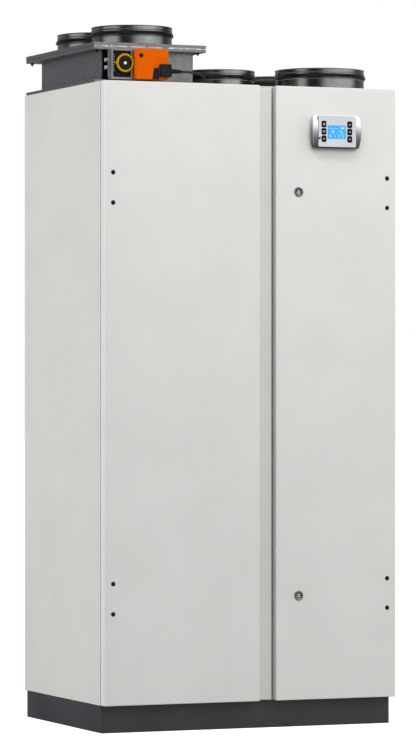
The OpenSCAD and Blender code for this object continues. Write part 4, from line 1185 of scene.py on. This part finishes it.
for name in ("left_top", "left_middle", "left_bottom", "right_top", "right_middle", "right_bottom"):
    node = "button_" + name
    key_lo, key_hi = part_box(node)
    mid = (key_lo + key_hi) / 2
    bm = bmesh.new()
    skirt = fascia_hi.y + 0.3 * mm
    plate(bm, mid, key_size, key_lo.y, skirt + 0.1 * mm, 4 * mm, 0.7 * mm)
    plate(bm, mid, skirt_size, skirt, skirt + 1.5 * mm, 4.5 * mm)
    turned(bm, [(0, skirt + 1.4 * mm), (3 * mm, skirt + 1.4 * mm), (3 * mm, key_hi.y), (0, key_hi.y)],
           (mid.x, 0, mid.z), (0, 1, 0), 24, closed=False)
    add_piece(node + "_key", bm, key_rubber, node, "key_black", node)
    bm = bmesh.new()
    if name == "left_top":
        for k in range(7):
            a = math.radians(120 + 45 * k)
            bar(bm, mid, key_lo.y, 2.9 * math.cos(a), 2.9 * math.sin(a), 2.5, 1.3, math.degrees(a) + 90)
        bar(bm, mid, key_lo.y, 1.2, 0.6, 3.4, 1.5, -30)
    elif name == "left_middle":
        bars(bm, mid, key_lo.y, (0, 2.0, 7.4, 1.0), (0, -2.0, 7.4, 1.0), (-3.3, 0, 1.0, 4.6),
             (3.3, 0, 1.0, 4.6))
    elif name == "left_bottom":
        bars(bm, mid, key_lo.y, (0, 1.6, 6.4, 0.8), (0, -1.6, 6.4, 0.8))
    elif name == "right_middle":
        spot(bm, mid, key_lo.y, 0, 0, 2.4, 20)
    else:
        up = name == "right_top"
        spot(bm, mid, key_lo.y, 0, 0, 3.0, 3, 90 if up else -90)
        bar(bm, mid, key_lo.y, 0, -1.8 if up else 1.8, 2.2, 2.2)
    add_piece(node + "_print", bm, key_print, node, "key_black")

bm = bmesh.new()
turned(bm, in_mm((0, 0.7), (2.6, 0.6), (3.5, 0), (3.5, -1), (0, -1)),
       (panel_mid.x + lamp_place[0], fascia_lo.y, panel_mid.z + lamp_place[1]), (0, -1, 0), 24, closed=False)
add_piece("panel_lamp", bm, key_rubber, "right_door", "key_black")


# Damper box
# A galvanised sheet box on the roof: folded walls, angle flanges bolted round its foot and its
# head, and a partition between the two sets of blades. The lid is sealed with a grey bead that
# is squeezed out between the bolts.
damper_tones = ("7b7b7b", "818181", "878787")
bead_tones = ("8c8c8b", "f1f1ee")
damper_x = (-448 * mm, -144 * mm)
damper_y = (-210 * mm, 318 * mm)
angle_h = 10 * mm
angle_edge = 0.8 * mm
partition_y = (54 * mm, 56 * mm)
partition_rise = 58 * mm
bead_pitch = 62 * mm
bead_swell = 1.5 * mm
bead_cuts = 110
bolt_inset = ((14 * mm, 22 * mm), (14 * mm, 18 * mm))
bolt_r = 2.5 * mm
bolt_nut_r = 5 * mm

damper_zinc = spangled("damper_zinc", damper_tones, (0.34, 0.44), flakes=120, metallic=0.85)
lid_bead = moulded("lid_bead", bead_tones, (0.6, 0.8), patch=26, grain=600, height=0.1 * mm)
rim_lo, rim_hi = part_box("damper_box")
lid_lo, lid_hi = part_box("damper_lid")
dress(damper_zinc, "damper_lid")
bm = bmesh.new()
faces = cube_between(bm, (damper_x[0], damper_y[0], rim_lo.z), (damper_x[1], damper_y[1], rim_hi.z))
ends = [face_toward(faces, (0, 0, 1)), face_toward(faces, (0, 0, -1))]
bmesh.ops.delete(bm, geom=ends, context="FACES_ONLY")
round_off(bm, edges_along(bm.edges, 2), 2.5 * mm, 4)
sheet_metal(add_piece("damper_walls", bm, damper_zinc, "cabinet", "damper_paint", "damper_box"), sheet)
bm = bmesh.new()
for z in (rim_lo.z, rim_hi.z - angle_h):
    top = z + angle_h
    y0, y1 = damper_y[0] + 1.1 * mm, damper_y[1] - 1.1 * mm
    for lo, hi in (((rim_lo.x, rim_lo.y), (rim_hi.x, damper_y[0] + 1 * mm)),
                   ((rim_lo.x, damper_y[1] - 1 * mm), (rim_hi.x, rim_hi.y)),
                   ((rim_lo.x, y0), (damper_x[0] + 1 * mm, y1)),
                   ((damper_x[1] - 1 * mm, y0), (rim_hi.x, y1))):
        block(bm, (*lo, z), (*hi, top), angle_edge, 3)
block(bm, (damper_x[0] + sheet, partition_y[0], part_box("middle_blade")[0].z + partition_rise),
      (damper_x[1] - sheet, partition_y[1], rim_hi.z), 0.4 * mm)
add_piece("damper_flanges", bm, damper_zinc, "cabinet", "damper_paint")

bm = bmesh.new()
bead_z = (rim_hi.z - 1.3 * mm, lid_lo.z + 1.4 * mm)
for y0, y1, outward in ((rim_lo.y, rim_lo.y + 3 * mm, -1), (rim_hi.y - 3 * mm, rim_hi.y, 1)):
    part = bmesh.new()
    cube_between(part, (rim_lo.x, y0, bead_z[0]), (rim_hi.x, y1, bead_z[1]))
    bmesh.ops.subdivide_edges(part, edges=edges_along(part.edges, 0), cuts=bead_cuts, use_grid_fill=True)
    edge_at = y1 if outward > 0 else y0
    for vert in part.verts:
        if abs(vert.co.y - edge_at) < 0.1 * mm:
            step = vert.co.x / bead_pitch
            swell = abs(math.sin(math.pi * step)) ** 0.5 + 0.35 * noise.noise(vert.co * 35)
            vert.co.y += outward * (bead_swell * swell - 0.9 * mm)
            vert.co.z += 0.5 * mm * noise.noise(vert.co * 60 + Vector((9, 0, 0)))
    take_in(bm, part)
add_piece("lid_bead", bm, lid_bead, "cabinet", "seal_rubber")

bm = bmesh.new()
for x in (rim_lo.x + bolt_inset[0][0], rim_hi.x - bolt_inset[0][1]):
    for y in (rim_lo.y + bolt_inset[1][0], rim_hi.y - bolt_inset[1][1]):
        stud(bm, (x, y, rim_hi.z - angle_h - 2.5 * mm), bolt_nut_r, 5 * mm)
        turned(bm, [(0, -2 * mm), (bolt_r, -2 * mm), (bolt_r, 3 * mm), (0, 3 * mm)],
               (x, y, rim_hi.z - angle_h - 7 * mm), (0, 0, 1), 16, closed=False)
add_piece("damper_bolts", bm, black_oxide, "cabinet", "black_screws")


# Damper blades, bushes and link rod
# Three steel shafts, each with two aluminium blades a quarter turn apart, run in black nylon
# bushes. Cranks on their rear ends are joined by one zinc-plated rod.
blade_tones = ("8b8f93", "adb1b5")

blade_aluminium = brushed("blade_aluminium", blade_tones, (0.28, 0.42), 260, 1)
bush_nylon = moulded("bush_nylon", ("1a1b1d", "27292c"), (0.4, 0.5))
dress(blade_aluminium, "driven_blade", "middle_blade", "end_blade")
dress(hinge_zinc, "damper_link_rod")
dress(bush_nylon, "damper_bushes")


# Duct collars and their seals
# Spun galvanised spigots, riveted down through a foot ring. Two beads hold a black rubber lip
# seal, and the upper edge is rolled outwards.
collar_tones = ("7c7d7e", "8a8b8c", "98999a")
seal_rubber = ("0b0b0d", "151517")
collar_wall = 1.5 * mm
collar_foot = 12 * mm
seal_drop = 22 * mm
bead_gap = 9.8
bead_shape = ((0, -2.4), (0.9, -1.6), (1.4, 0), (0.9, 1.6), (0, 2.4))
lip_shape = ((0, -5.8), (2, -5.8), (2.8, -4.6), (4.4, -5.8), (5.4, -6.2), (6.0, -5.2), (5.2, -3.4),
             (3.2, -0.8), (4.2, -0.6), (4.8, 0.4), (4.2, 1.6), (2.6, 3.4), (1.6, 4.8), (0, 4.8))
rivets = 10
rivet_r = 2.6 * mm


def spun(name, codes, rough):
    """Sheet spun on a lathe: rings round the piece from the tool, and zinc flakes."""
    finish, tree, shader, place = new_finish(name, Metallic=1.0)
    rings = cloud(tree, place, 900, 3, (0.02, 0.02, 1))
    patches = cloud(tree, place, 18, 4, (1, 1, 0.4))
    tint(tree, shader, patches, codes)
    gloss(tree, shader, patches, *rough)
    relief(tree, shader, rings, 0.02 * mm)
    return finish


collar_zinc = spun("collar_zinc", collar_tones, (0.17, 0.26))
lip_rubber = moulded("lip_rubber", seal_rubber, (0.22, 0.32), patch=30, Specular_IOR_Level=0.22)
box_collars = ((-298, -83), (-305, 198))
collars = {
    "duct_collars_250": [(*at, 125 * mm, lid_hi.z, 60.5 * mm) for at in box_collars]
                        + [(313, 195, 125 * mm, rim_lo.z, 66 * mm)],
    "duct_collar_224": [(32, -2, 112 * mm, rim_lo.z, 66 * mm)],
    "duct_collar_280": [(314, -148, 140 * mm, rim_lo.z, 66 * mm)],
}
seals = bmesh.new()
for node, places in collars.items():
    bm = bmesh.new()
    for x, y, r, base, height in places:
        centre = (x * mm, y * mm, base)
        groove = height - seal_drop
        inner = r - collar_wall
        outline = [(inner, 0), (r + collar_foot, 0), (r + collar_foot, 2 * mm), (r + 2 * mm, 2 * mm),
                   (r, 4 * mm)]
        for s in (-1, 1):
            outline += [(r + rise * mm, groove + (s * bead_gap + along) * mm)
                        for rise, along in bead_shape]
        outline += [(r, height - 3 * mm), (r + 0.9 * mm, height - 2.2 * mm),
                    (r + 1.4 * mm, height - 1.2 * mm), (r + 1.0 * mm, height - 0.3 * mm), (r, height),
                    (inner, height - 0.8 * mm)]
        turned(bm, outline, centre, (0, 0, 1), 128)
        for k in range(rivets):
            a = math.tau * (k + 0.5) / rivets
            reach = r + 0.55 * collar_foot
            pan_head(bm, (centre[0] + reach * math.cos(a), centre[1] + reach * math.sin(a), base + 2 * mm),
                     (0, 0, 1), rivet_r)
        turned(seals, [(r + rise * mm, groove + along * mm) for rise, along in lip_shape],
               centre, (0, 0, 1), 128)
    add_piece(node + "_spun", bm, collar_zinc, "cabinet", "collar_zinc", node)
add_piece("collar_seals", seals, lip_rubber, "cabinet", "seal_rubber", "collar_gaskets")


# Damper drive
# A cast base with a recessed dial, slid over the driven shaft and held by a strap on the box.
# An orange plastic cover houses its motor and spring, and the plug on its corner takes the cable.
casting_tones = ("77787a", "86878a")
dial_black = ("0e0f10", "18191b")
scale_pale = ("a5a8aa", "c7c9ca")
orange_tones = ("d05700", "d95e00")
yellow_tones = ("a88500", "b59004")
clip_black = ("161718", "202122")
drive_x = -395 * mm
drive_z = 2045 * mm
cover_x = (-366 * mm, -263 * mm)
cover_y = (-300 * mm, -262 * mm)
dial_front = -270 * mm
plate_y = (-262 * mm, -250 * mm)
dial_rise = 2.5 * mm
scale_x = -33.6
scale_marks = 9
key_socket_at = (13 * mm, 2067 * mm)

drive_casting = moulded("drive_casting", casting_tones, (0.3, 0.42), patch=40, grain=500,
                        height=0.05 * mm, Metallic=0.6)
dial_plate = moulded("dial_plate", dial_black, (0.35, 0.5), Specular_IOR_Level=0.1)
scale_print = moulded("scale_print", scale_pale, (0.5, 0.6))
drive_orange = moulded("drive_orange", orange_tones, (0.34, 0.46), patch=25, grain=700,
                       height=0.04 * mm, Specular_IOR_Level=0.06)
clamp_yellow = moulded("clamp_yellow", yellow_tones, (0.32, 0.45), patch=60, Specular_IOR_Level=0.2)
clip_plastic = moulded("clip_plastic", clip_black, (0.38, 0.5), patch=60, grain=700,
                       height=0.04 * mm, Specular_IOR_Level=0.1)
cast_lo, cast_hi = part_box("actuator_casing")
bm = bmesh.new()
tablet(bm, (cast_lo.x, plate_y[0], cast_lo.z), (cast_hi.x, plate_y[1], cast_hi.z), 1, 9 * mm, 1.2 * mm)
dial_lo = Vector((cast_lo.x + 4 * mm, dial_front, cast_lo.z))
dial_hi = Vector((cover_x[0] - 2 * mm, plate_y[0] + 0.1 * mm, cast_hi.z))
ring_frame(bm, dial_lo, dial_hi, 7 * mm, 1, 1.6 * mm, 3)
strap_x = (cast_hi.x - 26 * mm, cast_hi.x - 6 * mm)
for y0, y1, x1 in ((plate_y[1], plate_y[1] + sheet, strap_x[1]),
                   (plate_y[1], damper_y[0], strap_x[0] + sheet),
                   (damper_y[0] - sheet, damper_y[0], strap_x[1])):
    block(bm, (strap_x[0], y0, cast_lo.z + 10 * mm), (x1, y1, cast_hi.z - 14 * mm), 0.5 * mm)
add_piece("drive_base", bm, drive_casting, "cabinet", "drive_casting", "actuator_casing")
bm = bmesh.new()
block(bm, (dial_lo.x + 5 * mm, plate_y[0] - dial_rise, dial_lo.z + 5 * mm),
      (dial_hi.x - 5 * mm, plate_y[0] + 0.5 * mm, dial_hi.z - 5 * mm), 0.6 * mm)
# A black sheet on the box's front wall beside the drive stands for no real part: it is a painted shadow in
# the gap behind the drive.
block(bm, (damper_x[0] + 1 * mm, damper_y[0] - 2.5 * mm, rim_lo.z + angle_h),
      (cast_lo.x + 30 * mm, damper_y[0] - 0.1 * mm, rim_hi.z - angle_h), 0.5 * mm)
add_piece("drive_dial_and_painted_shadow", bm, dial_plate, "cabinet", "connector_black")
bm = bmesh.new()
dial_mid = Vector((drive_x, 0, drive_z))
for k in range(scale_marks):
    bar(bm, dial_mid, plate_y[0] - dial_rise, scale_x, 24 - 6 * k, 5.0 if k % 4 == 0 else 3.2, 1.3)
add_piece("drive_scale", bm, scale_print, "cabinet", "panel_silver")

bm = bmesh.new()
tablet(bm, (cover_x[0], cover_y[0], cast_lo.z), (cover_x[1], cover_y[1], cast_hi.z), 1, 5 * mm, 2.0 * mm)
add_piece("drive_cover", bm, drive_orange, "cabinet", "drive_orange", "actuator_cover")
bm = bmesh.new()
turned(bm, in_mm((0, 0.2), (5.2, 0.2), (5.6, 0.5), (6.4, 0.5), (6.7, 0.1), (6.7, -2), (0, -2)),
       (cover_x[0] + key_socket_at[0], cover_y[0], key_socket_at[1]), (0, -1, 0), 32, closed=False)
add_piece("drive_key_socket", bm, dial_plate, "cabinet", "connector_black")


# Clamp on the driven shaft
# A yellow pointer ring on a steel sleeve. A U-bolt with two chromed legs pulls a toothed yoke
# against the shaft behind the base, and the shaft's bright end shows in the middle.
clamp_tones = ("1d1a18", "312b27")
bright_tones = ("d6d8da", "f4f5f5")
clamp_front = -276 * mm
shaft_front = -274 * mm
ring_r = 28.5 * mm
ring_w = 6.4 * mm
ring_t = 5 * mm
ring_teeth = 12
tooth_r = 1.2 * mm
leg_gap = 23 * mm
leg_reach = 47 * mm
leg_r = 4 * mm
leg_y = -220 * mm
leg_nut_r = 6.5 * mm
leg_nut_t = 13 * mm

clamp_steel = brushed("clamp_steel", clamp_tones, (0.18, 0.3), 500, 2)
bright_steel = brushed("bright_steel", bright_tones, (0.1, 0.2), 500, 1)
bright_steel.node_tree.nodes["Principled BSDF"].inputs["Metallic"].default_value = 0.55
bm = bmesh.new()
inner = ring_r - ring_w
turned(bm, [(inner, 0), (inner, 3.6 * mm), (inner + 1 * mm, ring_t), (ring_r - 1.4 * mm, ring_t),
            (ring_r, 3.8 * mm), (ring_r, 0)],
       (drive_x, clamp_front + ring_t, drive_z), (0, -1, 0), 72)
tablet(bm, (drive_x - ring_r - 8 * mm, clamp_front + 1 * mm, drive_z - 1.8 * mm),
       (drive_x - ring_r + 3 * mm, clamp_front + 4 * mm, drive_z + 1.8 * mm), 1, 0.8 * mm, 0.3 * mm, 2)
for k in range(ring_teeth):
    a = math.tau * k / ring_teeth
    reach = ring_r - ring_w / 2
    pan_head(bm, (drive_x + reach * math.cos(a), clamp_front, drive_z + reach * math.sin(a)),
             (0, -1, 0), tooth_r)
add_piece("clamp_ring", bm, clamp_yellow, "damper_shaft", "clamp_yellow", "actuator_clamp")
bm = bmesh.new()
turned(bm, in_mm((5, 0), (14.9, 0), (14.9, 27), (20.5, 27.2), (20.5, 29.5), (12, 30), (5, 29)),
       (drive_x, clamp_front + 32 * mm, drive_z), (0, -1, 0), 64)
for z0, z1 in in_mm((-14, -6.5), (6.5, 14)):
    block(bm, (drive_x - 12 * mm, clamp_front + 0.8 * mm, drive_z + z0),
          (drive_x + 6 * mm, clamp_front + 8 * mm, drive_z + z1), 1 * mm)
block(bm, (drive_x - 22 * mm, leg_y - 9 * mm, drive_z - 20 * mm),
      (drive_x + 10 * mm, leg_y + 7 * mm, drive_z + 20 * mm), 1.5 * mm)
turned(bm, in_mm((5, 0), (14.9, 0), (14.9, 17), (5, 17)), (drive_x, leg_y - 7 * mm, drive_z),
       (0, -1, 0), 48)
add_piece("clamp_yoke", bm, clamp_steel, "damper_shaft", "zinc_steel")
bm = bmesh.new()
for s in (-1, 1):
    z = drive_z + s * leg_gap / 2
    turned(bm, [(0, 0), (leg_r, 0), (leg_r, leg_reach - 1 * mm), (leg_r - 1 * mm, leg_reach),
                (0, leg_reach)],
           (drive_x, leg_y, z), (-1, 0, 0), 24, closed=False)
    stud(bm, (drive_x - leg_reach + 7.5 * mm, leg_y, z), leg_nut_r, leg_nut_t, "Y")
turned(bm, in_mm((0, 0.2), (1.6, 0.2), (2.0, 0.8), (4.2, 0.8), (4.95, 0), (4.95, -6), (0, -6)),
       (drive_x, shaft_front, drive_z), (0, -1, 0), 32, closed=False)
add_piece("clamp_bolts", bm, bright_steel, "damper_shaft", "zinc_steel")


# Plug of the drive and the cable's grommet
# A black plug housing wraps the cover's lower corner beside a tapered clip, with a ribbed
# boot that keeps the cable from kinking. A rubber grommet lines the hole in the roof.
plug_z = 2022 * mm
plug_half_h = 20 * mm
boot_x = (-257 * mm, -218 * mm)
boot_y = -290 * mm
boot_r = (8 * mm, 5.5 * mm)
boot_ribs = 5
rib_shape = ((0.30, 0.2), (0.45, -0.5), (0.75, -0.5), (0.9, 0.2))

bm = bmesh.new()
tablet(bm, (cover_x[1] - 30 * mm, cover_y[0] - 12 * mm, plug_z - plug_half_h),
       (cover_x[1] + 6 * mm, cover_y[0] - 0.1 * mm, plug_z + plug_half_h), 1, 1.6 * mm, 1.2 * mm, 3)
block(bm, (cover_x[1] + 0.1 * mm, cover_y[0] - 1 * mm, plug_z - plug_half_h),
      (cover_x[1] + 6 * mm, cover_y[0] + 20 * mm, plug_z + plug_half_h), 1 * mm)
clip = [(cover_x[1] + x, plug_z + z) for x, z in in_mm((-53, -27), (-32, -27), (-32, 8), (-48, 8))]
faces = prism(bm, clip, cover_y[0] - 3 * mm, cover_y[0] + 0.5 * mm)
round_off(bm, edges_of(faces), 0.8 * mm, 3)
outline = [(cable_diameter / 2, 0), (boot_r[0], 0)]
boot_length = boot_x[1] - boot_x[0]
for i in range(boot_ribs):
    for along, swell in rib_shape:
        step = (i + along) / boot_ribs
        outline.append((boot_r[0] + (boot_r[1] - boot_r[0]) * step + swell * mm, boot_length * step))
outline += [(boot_r[1], boot_length), (cable_diameter / 2, boot_length)]
turned(bm, outline, (boot_x[0], boot_y, plug_z), (1, 0, 0), 32)
add_piece("drive_plug", bm, clip_plastic, "cabinet", "connector_black", "actuator_connector")
bm = bmesh.new()
sleeve_lo, sleeve_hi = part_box("cable_grommet")
sleeve_mid = (sleeve_lo + sleeve_hi) / 2
turned(bm, in_mm((2.6, -5), (4.9, -5), (4.9, 0), (10, 0), (9.8, 2), (8.4, 4), (5.6, 5), (3.5, 5), (2.6, 3)),
       (sleeve_mid.x, sleeve_mid.y, sleeve_hi.z - 5 * mm), (0, 0, 1), 36)
add_piece("roof_grommet", bm, cable_jacket, "cabinet", "cable_black", "cable_grommet")
